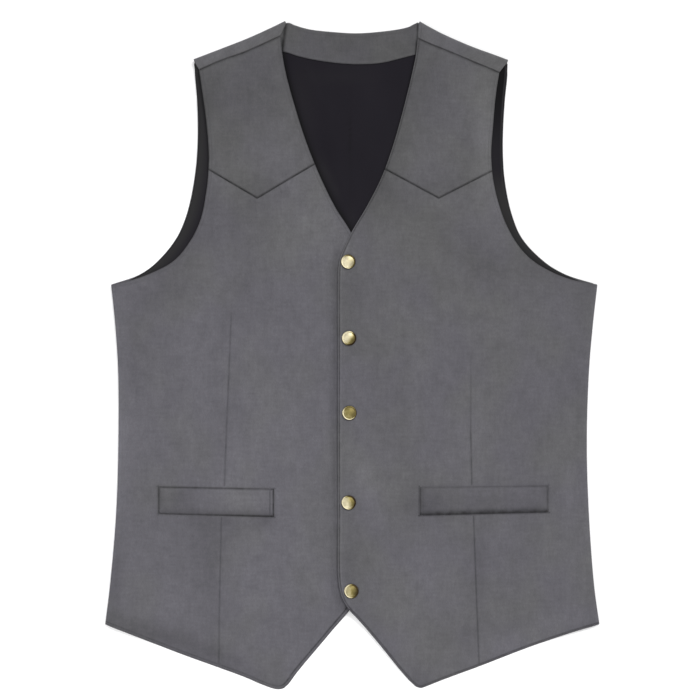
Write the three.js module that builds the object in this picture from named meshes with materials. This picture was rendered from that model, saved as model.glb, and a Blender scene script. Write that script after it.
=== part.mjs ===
// A sleeveless western vest, fastened with five snaps and laid flat on its back.
// Millimetres. X runs to the wearer's left, Y to the neck and Z up from the surface it lies on.
// The origin is below the middle of the vest. "right" and "left" are the wearer's.
import * as THREE from "three";

// Cloth walls, and the air between pieces that touch
const GAP = 0.3;
const BACK_WALL = 1.2;
const LINING_WALL = 1.0;
const FACING_WALL = 1.0;
const FRONT_WALL = 1.3;
const YOKE_WALL = 1.0;
const WELT_WALL = 1.2;

// Heights of the layers, from the surface up
const LINING_FLOOR = BACK_WALL + GAP;
const LINING_TOP = LINING_FLOOR + LINING_WALL;
const FACING_FLOOR = LINING_TOP + GAP;
const NECK_FLOOR = FACING_FLOOR + FACING_WALL + GAP;
const FRONT_FLOOR = LINING_TOP + GAP;
const SIDE_FLOOR = BACK_WALL + GAP;

// The shoulder fold, where the back turns over to the front
const FOLD_OUTER_RADIUS = (NECK_FLOOR + BACK_WALL) / 2;
const FOLD_INNER_RADIUS = FOLD_OUTER_RADIUS - BACK_WALL;

// How far the free edges of the lining stay inside those of the back
const LINING_INSET = { side: 10, armhole: 0.5, shoulder: 4.2, hem: 14 };
const NO_INSET = { side: 0, armhole: 0, hem: 0 };

// How the fronts lie: rolled down at the side seams, down on the surface past the back's hem
const SIDE_ROLL = 8;
const HEM_DROP = { from: 2, to: 30 };
const NECK_RISE = { from: 225, to: 280 };
const OVERLAP_FADE = { from: 22, to: 62 };

// The body of the fronts stands up softly between its sides, the snaps, the hem and the shoulders
const BODY_PUFF = 1.5;
const PUFF_FROM_SIDE = 70;
const PUFF_FROM_SNAPS = { from: 10, to: 70 };
const PUFF_FROM_HEM = { from: -240, to: -160 };
const PUFF_TO_SHOULDER = { from: 100, to: 220 };

const HAND = { right: -1, left: 1 };

// Side seams: half of the width at each height
const SIDE_SEAM = [
  { y: -269, right: 247.2, left: 247.2 },
  { y: -231, right: 242.5, left: 242.0 },
  { y: -159, right: 236.3, left: 236.7 },
  { y: -87, right: 234.0, left: 234.6 },
  { y: -15, right: 234.3, left: 236.8 },
  { y: 33, right: 237.4, left: 240.9 },
  { y: 71, right: 241.3, left: 245.2 },
];

// Armhole of the back, from the underarm to the shoulder
const BACK_ARMHOLE = [
  { y: 81, right: 212.8, left: 213.4 },
  { y: 93, right: 196.2, left: 193.2 },
  { y: 117, right: 176.3, left: 170.0 },
  { y: 141, right: 165.8, left: 159.7 },
  { y: 177, right: 158.0, left: 152.4 },
  { y: 213, right: 154.8, left: 150.7 },
  { y: 255, right: 155.4, left: 152.7 },
  { y: 280, right: 157.5, left: 155.2 },
];

// Armhole of the fronts, cut further in than the back's
const FRONT_ARMHOLE = [
  { y: 77, right: 215.1, left: 215.1 },
  { y: 93, right: 180.5, left: 182.6 },
  { y: 109, right: 165.5, left: 166.5 },
  { y: 133, right: 152.6, left: 152.9 },
  { y: 165, right: 145.8, left: 142.9 },
  { y: 197, right: 143.3, left: 138.8 },
  { y: 229, right: 145.3, left: 140.6 },
  { y: 261, right: 149.4, left: 143.4 },
  { y: 284, right: 153.0, left: 146.8 },
];

// Shoulder fold, from the armhole to the neck
const SHOULDER_FOLD = {
  right: [[-158.9, 296.3], [-136.1, 305], [-105.3, 317], [-78.7, 329], [-67.4, 334.6]],
  left: [[155.9, 295.6], [141.5, 301], [119.6, 309], [91.9, 321], [76.5, 329], [67.6, 334.2]],
};

// Shoulder seam, where the turned over back meets the front
const SHOULDER_SEAM = {
  right: [[-153, 285.3], [-131.8, 294.4], [-107.8, 302.9], [-89.8, 310.9], [-71.8, 319.2]],
  left: [[146.8, 282.6], [121.2, 293.3], [97.2, 303.3], [73.2, 313.2], [65.4, 316.9]],
};

// Back neck between the two shoulder folds
const BACK_NECK = [
  [-65, 333.9],
  [-61.4, 332.1],
  [-54.8, 329.6],
  [-42.8, 326.4],
  [-18.8, 323.7],
  [5.2, 322.5],
  [29.2, 324.2],
  [53.2, 327.9],
  [62.4, 331.5],
  [65.4, 333.4],
];

// Back hem, from side seam to side seam
const BACK_HEM = [
  { x: -247.2, y: -269 },
  { x: -124, y: -254 },
  { x: 0, y: -249 },
  { x: 124, y: -254 },
  { x: 247.2, y: -269 },
];

// Hem of a front: from the side seam down to the point, then up to the middle
const FRONT_HEM = {
  right: [
    [-247.2, -269],
    [-174.8, -297.5],
    [-107.8, -321.9],
    [-90.8, -329.2],
    [-78, -333.6],
    [-72.4, -334],
    [-66.9, -332],
    [-54.4, -316.1],
    [-30.5, -287.7],
    [-11.8, -265.4],
    [-2.2, -253.9],
    [1.5, -249.6],
  ],
  left: [
    [247.2, -269],
    [228, -274.4],
    [173.2, -293.3],
    [132, -309.3],
    [88, -325.6],
    [74, -331.2],
    [68.6, -332.8],
    [63.2, -331],
    [52, -319.8],
    [28.2, -290.4],
    [6.7, -265],
    [-1.8, -256],
  ],
};

// Middle edge of a front, from the hem up past the snaps and along the V neck
const FRONT_EDGE = [
  { y: -244, right: -6.5, left: -9.2 },
  { y: -230, right: -9.3, left: -13.2 },
  { y: -150, right: -9.5, left: -14.2 },
  { y: 40, right: -9.5, left: -14.3 },
  { y: 80, right: -9.3, left: -14.2 },
  { y: 95, right: -8.0, left: -12.9 },
  { y: 109, right: -4.4, left: -7.6 },
  { y: 124, right: 1.8, left: -0.4 },
  { y: 149, right: 17.5, left: 14.5 },
  { y: 181, right: 33.1, left: 30.5 },
  { y: 213, right: 45.9, left: 41.7 },
  { y: 245, right: 56.3, left: 50.7 },
  { y: 277, right: 65.2, left: 58.6 },
  { y: 299, right: 69.6, left: 63.3 },
];

// Band of body cloth inside the back neck
const NECK_FACING = [
  { x: -77, top: 325.5, bottom: 305 },
  { x: -65, top: 332.6, bottom: 302.8 },
  { x: -54.8, top: 328.8, bottom: 299.5 },
  { x: -42.8, top: 325.6, bottom: 296.6 },
  { x: -18.8, top: 322.9, bottom: 292.8 },
  { x: 5.2, top: 321.7, bottom: 291.2 },
  { x: 29.2, top: 323.4, bottom: 292.6 },
  { x: 53.2, top: 327.1, bottom: 298.3 },
  { x: 65, top: 332, bottom: 301.4 },
  { x: 73, top: 326.3, bottom: 304 },
];

// Lower edge of a pointed yoke: armhole, point and V neck
const YOKE_EDGE = {
  right: [{ x: -146, y: 188.2 }, { x: -95, y: 158 }, { x: -34, y: 194.4 }],
  left: [{ x: 143, y: 186.9 }, { x: 86.5, y: 158 }, { x: 28, y: 189.6 }],
};

// Dart lines, from the hem up past the pocket
const DART = [
  { y: -320, right: 133.8, left: 127.4 },
  { y: -245, right: 132.8, left: 124.2 },
  { y: -165, right: 130.8, left: 121.2 },
  { y: -131, right: 127.8, left: 119.4 },
  { y: -77, right: 125.8, left: 118.2 },
  { y: 43, right: 120.8, left: 118.2 },
];
const DART_TOP = { right: 43, left: 0 };
const DART_DEPTH = 0.3;
const DART_FADE = 20;

// The grid of a front, as shares of its hem: the roll at the side seam, the column that follows the
// dart with a narrow one on each side, and the rounded hem point
const SIDE_ROLL_SHARE = 0.03;
const DART_SHARE = 0.44;
const DART_HALF_SHARE = 0.012;
const POINT_HALF_SHARE = 0.02;

// Above the dart its column leaves the dart's line
const DART_FREE = { from: 20, to: 150 };

// Pocket welts: x of the ends, and y of the top and bottom at each end
const WELT = {
  right: [{ x: -193.3, top: -132, bottom: -158.7 }, { x: -78.1, top: -134.2, bottom: -161.3 }],
  left: [{ x: 195.7, top: -130.3, bottom: -156.4 }, { x: 67.7, top: -132, bottom: -159.5 }],
};

// Soft swells and hollows of the laid cloth
const SOFT_FOLDS = [
  { x: -175, y: -40, turn: 80, long: 120, wide: 26, rise: 0.5 },
  { x: -205, y: 20, turn: 70, long: 70, wide: 20, rise: -0.4 },
  { x: -60, y: 110, turn: 55, long: 70, wide: 24, rise: 0.5 },
  { x: -90, y: 40, turn: 120, long: 60, wide: 22, rise: -0.4 },
  { x: -75, y: -60, turn: 85, long: 90, wide: 30, rise: 0.5 },
  { x: 60, y: 95, turn: 125, long: 70, wide: 24, rise: 0.4 },
  { x: 165, y: 60, turn: 100, long: 80, wide: 26, rise: -0.4 },
  { x: 195, y: -60, turn: 95, long: 110, wide: 24, rise: 0.5 },
  { x: 75, y: -80, turn: 80, long: 110, wide: 28, rise: 0.4 },
  { x: 60, y: -215, turn: 60, long: 60, wide: 26, rise: 0.4 },
];

// Snap caps on the left front, from the neck down
const SNAPS = [
  { x: -4.1, y: 93.6 },
  { x: -3.3, y: 17.2 },
  { x: -2.9, y: -57.4 },
  { x: -3.6, y: -146.9 },
  { x: -0.9, y: -235.3 },
];
const SNAP_RADIUS = 7.35;
const SNAP_SIDES = 24;

// A cap's section from its flat underside over the rolled rim to the top of the dome
const SNAP_SECTION = [
  { radius: 0, height: 0 },
  { radius: 6.5, height: 0 },
  { radius: SNAP_RADIUS, height: 0.7 },
  { radius: 7.15, height: 1.5 },
  { radius: 6.4, height: 1.8 },
  { radius: 5.9, height: 1.6 },
  { radius: 4.4, height: 2.35 },
  { radius: 2.3, height: 2.9 },
  { radius: 0, height: 3.1 },
];

const COLOURS = {
  flannel: { color: 0x66666a, roughness: 0.95, metalness: 0 },
  satin: { color: 0x262329, roughness: 0.4, metalness: 0 },
  brass: { color: 0xb08d4a, roughness: 0.35, metalness: 0.9 },
};

const { lerp, smoothstep, degToRad } = THREE.MathUtils;

function vectors(pairs) {
  return pairs.map(([x, y]) => new THREE.Vector3(x, y, 0));
}

function placed(table) {
  return table.map(({ x, y }) => new THREE.Vector3(x, y, 0));
}

function halfWidths(table, side) {
  return table.map((row) => new THREE.Vector3(HAND[side] * row[side], row.y, 0));
}

// A column of a table where its key column has the given value: straight between the rows, which
// stand in rising order of the key, and constant past their ends
function valueAt(table, key, value, column) {
  const next = table.findIndex((row) => value <= row[key]);
  if (next === 0) return table[0][column];
  if (next < 0) return table[table.length - 1][column];
  const [low, high] = [table[next - 1], table[next]];
  return lerp(low[column], high[column], (value - low[key]) / (high[key] - low[key]));
}

// A line of one or more smooth stretches, as a function of the share of its length.
// It is sharp where two stretches meet.
function lineThrough(...stretches) {
  const steps = 12;
  const points = [];
  for (const stretch of stretches) {
    const curve = new THREE.CatmullRomCurve3(stretch, false, "centripetal");
    points.push(...curve.getPoints(steps * (stretch.length - 1)));
  }
  const reached = [0];
  for (let k = 1; k < points.length; k++) {
    reached.push(reached[k - 1] + points[k].distanceTo(points[k - 1]));
  }
  const length = reached[reached.length - 1];
  const at = (share) => {
    const target = Math.min(Math.max(share, 0), 1) * length;
    let k = 1;
    while (k < points.length - 1 && reached[k] < target) k++;
    const step = reached[k] - reached[k - 1];
    return points[k - 1].clone().lerp(points[k], step > 0 ? (target - reached[k - 1]) / step : 0);
  };
  return { at, length };
}

// Shares from 0 to 1 in runs: each run has its end and its number of cells
function sharesOf(runs) {
  const shares = [0];
  let start = 0;
  for (const { end, cells } of runs) {
    for (let k = 1; k <= cells; k++) shares.push(lerp(start, end, k / cells));
    start = end;
  }
  return shares;
}

// A panel spanned between four edges: across from first to last, and up from hem to top
function panelBetween({ hem, top, first, last }) {
  const corners = [hem.at(0), hem.at(1), top.at(0), top.at(1)];
  return (u, v) => {
    const point = hem.at(u).multiplyScalar(1 - v);
    point.addScaledVector(top.at(u), v);
    point.addScaledVector(first.at(v), 1 - u);
    point.addScaledVector(last.at(v), u);
    point.addScaledVector(corners[0], -(1 - u) * (1 - v));
    point.addScaledVector(corners[1], -u * (1 - v));
    point.addScaledVector(corners[2], -(1 - u) * v);
    point.addScaledVector(corners[3], -u * v);
    return point;
  };
}

// Height of the underside of the fronts above the surface
function frontFloor(x, y) {
  const side = x < 0 ? "right" : "left";
  const inFromSide = valueAt(SIDE_SEAM, "y", y, side) - Math.abs(x);
  const rolled = lerp(SIDE_FLOOR, FRONT_FLOOR, smoothstep(inFromSide, 0, SIDE_ROLL));
  const neck = (NECK_FLOOR - FRONT_FLOOR) * smoothstep(y, NECK_RISE.from, NECK_RISE.to);
  const fromSnaps = smoothstep(Math.abs(x), PUFF_FROM_SNAPS.from, PUFF_FROM_SNAPS.to);
  const fromHem = smoothstep(y, PUFF_FROM_HEM.from, PUFF_FROM_HEM.to);
  const toShoulder = smoothstep(y, PUFF_TO_SHOULDER.from, PUFF_TO_SHOULDER.to);
  const body = smoothstep(inFromSide, 0, PUFF_FROM_SIDE) * fromSnaps * fromHem * (1 - toShoulder);
  let soft = BODY_PUFF;
  for (const fold of SOFT_FOLDS) {
    const turn = degToRad(fold.turn);
    const along = ((x - fold.x) * Math.cos(turn) + (y - fold.y) * Math.sin(turn)) / (fold.long / 2);
    const across = ((y - fold.y) * Math.cos(turn) - (x - fold.x) * Math.sin(turn)) / (fold.wide / 2);
    soft += fold.rise * Math.exp(-along * along - across * across);
  }
  const down = smoothstep(valueAt(BACK_HEM, "x", x, "y") - y, HEM_DROP.from, HEM_DROP.to);
  return (rolled + neck + soft * body) * (1 - down);
}

// The left front rides on the right one at the snaps
function frontLevel(side, x, y) {
  if (side === "right") return frontFloor(x, y);
  const lift = (FRONT_WALL + GAP) * (1 - smoothstep(x, OVERLAP_FADE.from, OVERLAP_FADE.to));
  return frontFloor(x, y) + lift;
}

// A cloth wall as one closed mesh. Each cell names four lattice points, counterclockwise seen from
// the face side, and every free edge of the cells gets a rim between the face and the reverse.
function clothMesh(name, finish, cells, faceOf, reverseOf) {
  const numbers = new Map();
  const positions = [];
  for (const key of cells.flat()) {
    if (numbers.has(key)) continue;
    numbers.set(key, positions.length / 3);
    positions.push(...faceOf(key).toArray(), ...reverseOf(key).toArray());
  }
  const edges = new Set(cells.flatMap((cell) => cell.map((key, k) => `${key}>${cell[(k + 1) % 4]}`)));
  const triangles = [];
  for (const cell of cells) {
    const [a, b, c, d] = cell.map((key) => numbers.get(key));
    triangles.push(a, b, c, a, c, d, a + 1, c + 1, b + 1, a + 1, d + 1, c + 1);
    for (let k = 0; k < 4; k++) {
      const from = cell[k];
      const to = cell[(k + 1) % 4];
      if (edges.has(`${to}>${from}`)) continue;
      const p = numbers.get(from);
      const q = numbers.get(to);
      triangles.push(p, p + 1, q + 1, p, q + 1, q);
    }
  }
  const geometry = new THREE.BufferGeometry();
  geometry.setAttribute("position", new THREE.Float32BufferAttribute(positions, 3));
  geometry.setIndex(triangles);
  geometry.computeVertexNormals();
  const mesh = new THREE.Mesh(geometry, new THREE.MeshStandardMaterial(COLOURS[finish]));
  mesh.name = name;
  return mesh;
}

// Lattice cells between two columns and two rows, turned over where the columns run to the right
function latticeCells(columns, rows, turned) {
  const cells = [];
  for (let i = columns[0]; i < columns[1]; i++) {
    for (let j = rows[0]; j < rows[1]; j++) {
      const cell = [`${i},${j}`, `${i + 1},${j}`, `${i + 1},${j + 1}`, `${i},${j + 1}`];
      cells.push(turned ? cell.reverse() : cell);
    }
  }
  return cells;
}

// A flat-laid sheet: plan(i, j) gives x and y, floor and top give its two heights there
function laidSheet(name, finish, { columns, rows, turned, plan, floor, top }) {
  const planned = new Map();
  const cells = latticeCells([0, columns], [0, rows], turned);
  for (const key of cells.flat()) {
    if (!planned.has(key)) planned.set(key, plan(...key.split(",").map(Number)));
  }
  const raised = (height) => (key) => {
    const { x, y } = planned.get(key);
    return new THREE.Vector3(x, y, height(x, y, ...key.split(",").map(Number)));
  };
  return clothMesh(name, finish, cells, raised(top), raised(floor));
}

// The unit vector out of the garment, square to the shoulder fold
function outOfFold(fold, side, share) {
  const step = 0.01;
  const along = fold.at(share + step).sub(fold.at(share - step)).normalize();
  return side === "right"
    ? new THREE.Vector3(-along.y, along.x, 0)
    : new THREE.Vector3(along.y, -along.x, 0);
}

// Side seam and armhole of the back or its lining, each moved in by its inset, up to the shoulder
function backSide(side, inset, shoulder) {
  const seam = halfWidths(SIDE_SEAM, side);
  for (const point of seam) point.x -= HAND[side] * inset.side;
  const armhole = halfWidths(BACK_ARMHOLE, side);
  for (const point of armhole) point.x -= HAND[side] * inset.armhole;
  seam[0].y += inset.hem;
  const line = lineThrough(seam, [seam[seam.length - 1].clone(), ...armhole, shoulder.clone()]);
  return { ...line, underarm: lineThrough(seam).length / line.length };
}

// The back, with a strip that turns over each shoulder to the shoulder seam
function makeBack() {
  const folds = {
    right: lineThrough(vectors(SHOULDER_FOLD.right)),
    left: lineThrough(vectors(SHOULDER_FOLD.left)),
  };
  const seams = {
    right: lineThrough(vectors(SHOULDER_SEAM.right)),
    left: lineThrough(vectors(SHOULDER_SEAM.left)),
  };
  const foldStart = (side, share) =>
    folds[side].at(share).addScaledVector(outOfFold(folds[side], side, share), -FOLD_OUTER_RADIUS);
  const shoulderShares = [0, 0.25, 0.5, 0.75, 1];
  const rightTop = shoulderShares.map((share) => foldStart("right", share));
  const leftTop = shoulderShares.map((share) => foldStart("left", share)).reverse();
  const neck = [rightTop[rightTop.length - 1].clone(), ...vectors(BACK_NECK), leftTop[0].clone()];
  const top = lineThrough(rightTop, neck, leftTop);
  const shoulder = lineThrough(rightTop).length / top.length;
  const first = backSide("right", NO_INSET, top.at(0));
  const last = backSide("left", NO_INSET, top.at(1));
  const panel = panelBetween({ hem: lineThrough(placed(BACK_HEM)), top, first, last });
  const columnsOnShoulder = 9;
  const across = sharesOf([
    { end: shoulder, cells: columnsOnShoulder },
    { end: 1 - shoulder, cells: 12 },
    { end: 1, cells: columnsOnShoulder },
  ]);
  const columns = across.length - 1;
  const up = sharesOf([{ end: first.underarm, cells: 10 }, { end: 1, cells: 18 }]);
  const rows = up.length - 1;
  const foldSteps = 6;
  const stripSteps = 2;

  const turnedRows = rows + foldSteps + stripSteps;
  const cells = [
    ...latticeCells([0, columns], [0, rows]),
    ...latticeCells([0, columnsOnShoulder], [rows, turnedRows]),
    ...latticeCells([columns - columnsOnShoulder, columns], [rows, turnedRows]),
  ];
  // radius and height are those of the side of the cloth that is asked for
  const place = (key, radius, bodyHeight, stripHeight) => {
    const [i, j] = key.split(",").map(Number);
    if (j < rows) return panel(across[i], up[j]).setZ(bodyHeight);
    if (i > columnsOnShoulder && i < columns - columnsOnShoulder) {
      return top.at(across[i]).setZ(bodyHeight);
    }
    const side = i <= columnsOnShoulder ? "right" : "left";
    const share = (side === "right" ? i : columns - i) / columnsOnShoulder;
    const start = foldStart(side, share);
    if (j <= rows + foldSteps) {
      const angle = Math.PI * ((j - rows) / foldSteps - 0.5);
      const out = outOfFold(folds[side], side, share);
      start.addScaledVector(out, radius * Math.cos(angle));
      return start.setZ(FOLD_OUTER_RADIUS + radius * Math.sin(angle));
    }
    const seam = seams[side].at(share).addScaledVector(outOfFold(folds[side], side, share), GAP);
    return start.lerp(seam, (j - rows - foldSteps) / stripSteps).setZ(stripHeight);
  };
  const stripTop = NECK_FLOOR + BACK_WALL;
  const inside = (key) => place(key, FOLD_INNER_RADIUS, BACK_WALL, NECK_FLOOR);
  const outside = (key) => place(key, FOLD_OUTER_RADIUS, 0, stripTop);
  return clothMesh("back", "flannel", cells, inside, outside);
}

// The dark lining on the inside of the back
function makeBackLining() {
  const inset = LINING_INSET;
  const lowered = (pairs) => vectors(pairs).map((point) => point.setY(point.y - inset.shoulder));
  const hem = placed(BACK_HEM);
  for (const point of hem) point.y += inset.hem;
  hem[0].x += inset.side;
  hem[hem.length - 1].x -= inset.side;
  const right = lowered(SHOULDER_FOLD.right);
  const left = lowered(SHOULDER_FOLD.left).reverse();
  right[0].x += inset.armhole;
  left[left.length - 1].x -= inset.armhole;
  const neck = [right[right.length - 1].clone(), ...lowered(BACK_NECK), left[0].clone()];
  const first = backSide("right", inset, right[0]);
  const last = backSide("left", inset, left[left.length - 1]);
  const top = lineThrough(right, neck, left);
  const panel = panelBetween({ hem: lineThrough(hem), top, first, last });
  const columns = 18;
  const up = sharesOf([{ end: first.underarm, cells: 8 }, { end: 1, cells: 18 }]);
  return laidSheet("back_lining", "satin", {
    columns,
    rows: up.length - 1,
    plan: (i, j) => panel(i / columns, up[j]),
    floor: () => LINING_FLOOR,
    top: () => LINING_TOP,
  });
}

// The facing band at the back neck
function makeNeckFacing() {
  const upper = lineThrough(placed(NECK_FACING.map(({ x, top }) => ({ x, y: top }))));
  const lower = lineThrough(placed(NECK_FACING.map(({ x, bottom }) => ({ x, y: bottom }))));
  const columns = 22;
  const rows = 2;
  return laidSheet("back_neck_facing", "flannel", {
    columns,
    rows,
    plan: (i, j) => lower.at(i / columns).lerp(upper.at(i / columns), j / rows),
    floor: () => FACING_FLOOR,
    top: () => FACING_FLOOR + FACING_WALL,
  });
}

// The plan of a front from its side seam to its middle edge, with its dart on the share DART_SHARE
function frontPanel(side) {
  const seam = halfWidths(SIDE_SEAM, side);
  const armhole = [seam[seam.length - 1].clone(), ...halfWidths(FRONT_ARMHOLE, side)];
  const shoulder = vectors(SHOULDER_SEAM[side]);
  armhole[armhole.length - 1].copy(shoulder[0]);
  const hem = vectors(FRONT_HEM[side]);
  const middle = [hem[hem.length - 1].clone(), ...halfWidths(FRONT_EDGE, side)];
  middle.push(shoulder[shoulder.length - 1].clone());
  const first = lineThrough(seam, armhole);
  const spanned = panelBetween({
    hem: lineThrough(hem),
    top: lineThrough(shoulder),
    first,
    last: lineThrough(middle),
  });
  const at = (u, v) => {
    const point = spanned(u, v);
    const onDart = spanned(DART_SHARE, v);
    const off = HAND[side] * valueAt(DART, "y", onDart.y, side) - onDart.x;
    const tent = u < DART_SHARE ? u / DART_SHARE : (1 - u) / (1 - DART_SHARE);
    point.x += off * tent * (1 - smoothstep(onDart.y, DART_FREE.from, DART_FREE.to));
    return point;
  };
  return { at, underarm: lineThrough(seam).length / first.length };
}

// Where a front's hem point lies, as a share of its hem
function hemPointShare(side) {
  const hem = lineThrough(vectors(FRONT_HEM[side]));
  const shares = sharesOf([{ end: 1, cells: 400 }]);
  return shares.reduce((low, share) => (hem.at(share).y < hem.at(low).y ? share : low), 0);
}

function makeFront(side) {
  const panel = frontPanel(side);
  const point = hemPointShare(side);
  const across = sharesOf([
    { end: SIDE_ROLL_SHARE, cells: 2 },
    { end: DART_SHARE - DART_HALF_SHARE, cells: 5 },
    { end: DART_SHARE + DART_HALF_SHARE, cells: 2 },
    { end: point - POINT_HALF_SHARE, cells: 2 },
    { end: point + POINT_HALF_SHARE, cells: 3 },
    { end: 1, cells: 5 },
  ]);
  const up = sharesOf([{ end: panel.underarm, cells: 13 }, { end: 1, cells: 17 }]);
  const dartColumn = across.findIndex((share) => Math.abs(share - DART_SHARE) < 1e-6);
  const top = DART_TOP[side];
  const dart = (y, i) => (i === dartColumn ? DART_DEPTH * (1 - smoothstep(y, top - DART_FADE, top)) : 0);
  return laidSheet(`front_${side}`, "flannel", {
    columns: across.length - 1,
    rows: up.length - 1,
    turned: side === "left",
    plan: (i, j) => panel.at(across[i], up[j]),
    floor: (x, y) => frontLevel(side, x, y),
    top: (x, y, i) => frontLevel(side, x, y) + FRONT_WALL - dart(y, i),
  });
}

// A yoke covers its front from the shoulder seam down to a pointed edge
function makeYoke(side) {
  const panel = frontPanel(side);
  const [armhole, point, neck] = YOKE_EDGE[side];
  const edgeAt = (x) => {
    const far = Math.abs(x) > Math.abs(point.x) ? armhole : neck;
    return lerp(point.y, far.y, (x - point.x) / (far.x - point.x));
  };
  // The share up the panel where a column crosses the pointed edge
  const crossing = (u) => {
    let low = 0.5;
    let high = 1;
    for (let k = 0; k < 30; k++) {
      const middle = (low + high) / 2;
      const { x, y } = panel.at(u, middle);
      if (y < edgeAt(x)) low = middle;
      else high = middle;
    }
    return low;
  };
  const columns = 14;
  const rows = 9;
  return laidSheet(`yoke_${side}`, "flannel", {
    columns,
    rows,
    turned: side === "left",
    plan: (i, j) => panel.at(i / columns, lerp(crossing(i / columns), 1, j / rows)),
    floor: (x, y) => frontLevel(side, x, y) + FRONT_WALL + GAP,
    top: (x, y) => frontLevel(side, x, y) + FRONT_WALL + GAP + YOKE_WALL,
  });
}

// A welt is a narrow band laid over the pocket's mouth
function makeWelt(side) {
  const [outer, inner] = WELT[side];
  const columns = 12;
  const rows = 3;
  const plan = (i, j) => {
    const x = lerp(outer.x, inner.x, i / columns);
    const bottom = lerp(outer.bottom, inner.bottom, i / columns);
    const top = lerp(outer.top, inner.top, i / columns);
    return new THREE.Vector3(x, lerp(bottom, top, j / rows), 0);
  };
  return laidSheet(`welt_${side}`, "flannel", {
    columns,
    rows,
    turned: side === "left",
    plan,
    floor: (x, y) => frontLevel(side, x, y) + FRONT_WALL + GAP,
    top: (x, y) => frontLevel(side, x, y) + FRONT_WALL + GAP + WELT_WALL,
  });
}

// A domed snap cap on the left front
function makeSnap({ x, y }, number) {
  const section = SNAP_SECTION.map(({ radius, height }) => new THREE.Vector2(radius, height));
  const geometry = new THREE.LatheGeometry(section, SNAP_SIDES);
  geometry.rotateX(Math.PI / 2);
  const mesh = new THREE.Mesh(geometry, new THREE.MeshStandardMaterial(COLOURS.brass));
  mesh.name = `snap_${number}`;
  let cloth = 0;
  for (let k = 0; k < SNAP_SIDES; k++) {
    const turn = (2 * Math.PI * k) / SNAP_SIDES;
    const level = frontLevel("left", x + SNAP_RADIUS * Math.cos(turn), y + SNAP_RADIUS * Math.sin(turn));
    cloth = Math.max(cloth, level + FRONT_WALL);
  }
  mesh.position.set(x, y, cloth + GAP);
  return mesh;
}

const vest = new THREE.Group();
vest.add(makeBack(), makeBackLining(), makeNeckFacing());
for (const side of ["right", "left"]) {
  vest.add(makeFront(side), makeYoke(side), makeWelt(side));
}
SNAPS.forEach((snap, index) => vest.add(makeSnap(snap, index + 1)));

export default vest;
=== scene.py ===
import math

import bpy
import numpy as np
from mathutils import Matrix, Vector
from mathutils.kdtree import KDTree


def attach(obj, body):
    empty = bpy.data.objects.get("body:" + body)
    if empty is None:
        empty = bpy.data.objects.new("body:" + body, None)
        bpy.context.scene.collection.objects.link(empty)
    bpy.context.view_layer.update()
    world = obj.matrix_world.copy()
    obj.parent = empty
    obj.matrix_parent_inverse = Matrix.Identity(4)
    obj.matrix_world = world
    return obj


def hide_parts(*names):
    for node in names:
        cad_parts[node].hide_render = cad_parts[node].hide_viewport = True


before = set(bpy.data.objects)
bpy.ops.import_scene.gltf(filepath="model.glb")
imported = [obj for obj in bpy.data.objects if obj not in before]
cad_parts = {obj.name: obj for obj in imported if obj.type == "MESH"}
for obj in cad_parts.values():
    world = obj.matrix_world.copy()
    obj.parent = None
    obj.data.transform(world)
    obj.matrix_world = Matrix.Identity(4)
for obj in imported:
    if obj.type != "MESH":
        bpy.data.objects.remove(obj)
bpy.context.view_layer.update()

# The vest lies on its back. The tables are in millimetres, as its pattern is drawn, and mm makes metres
# of them. Right and left are the wearer's, so the right front is on the left of the picture.
mm = 0.001
hand = {"right": -1, "left": 1}
gap = 0.3
wall = {"back": 1.2, "lining": 1.0, "facing": 1.0, "front": 1.3, "yoke": 1.0, "welt": 1.2}

# Heights of the layers
liningFloor = wall["back"] + gap
liningTop = liningFloor + wall["lining"]
facingFloor = liningTop + gap
neckFloor = facingFloor + wall["facing"] + gap
frontFloor = liningTop + gap
sideFloor = wall["back"] + gap

# Outline of the pattern: half widths at heights y
sideSeam = {
    "y": [-269, -231, -159, -87, -15, 33, 71],
    "right": [247.2, 242.5, 236.3, 234.0, 234.3, 237.4, 241.3],
    "left": [247.2, 242.0, 236.7, 234.6, 236.8, 240.9, 245.2],
}
backArmhole = {
    "y": [81, 93, 117, 141, 177, 213, 255, 280],
    "right": [212.8, 196.2, 176.3, 165.8, 158.0, 154.8, 155.4, 157.5],
    "left": [213.4, 193.2, 170.0, 159.7, 152.4, 150.7, 152.7, 155.2],
}
frontArmhole = {
    "y": [77, 93, 109, 133, 165, 197, 229, 261],
    "right": [215.1, 180.5, 165.5, 152.6, 145.8, 143.3, 145.3, 149.4],
    "left": [215.1, 182.6, 166.5, 152.9, 142.9, 138.8, 140.6, 143.4],
}
frontEdge = {
    "y": [-244, -230, -150, 40, 80, 95, 109, 124, 149, 181, 213, 245, 277, 299],
    "right": [-6.5, -9.3, -9.5, -9.5, -9.3, -8.0, -4.4, 1.8, 17.5, 33.1, 45.9, 56.3, 65.2, 69.6],
    "left": [-9.2, -13.2, -14.2, -14.3, -14.2, -12.9, -7.6, -0.4, 14.5, 30.5, 41.7, 50.7, 58.6, 63.3],
}
dartLine = {
    "y": [-320, -245, -165, -131, -77, 43],
    "right": [133.8, 132.8, 130.8, 127.8, 125.8, 120.8],
    "left": [127.4, 124.2, 121.2, 119.4, 118.2, 118.2],
}

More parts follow.
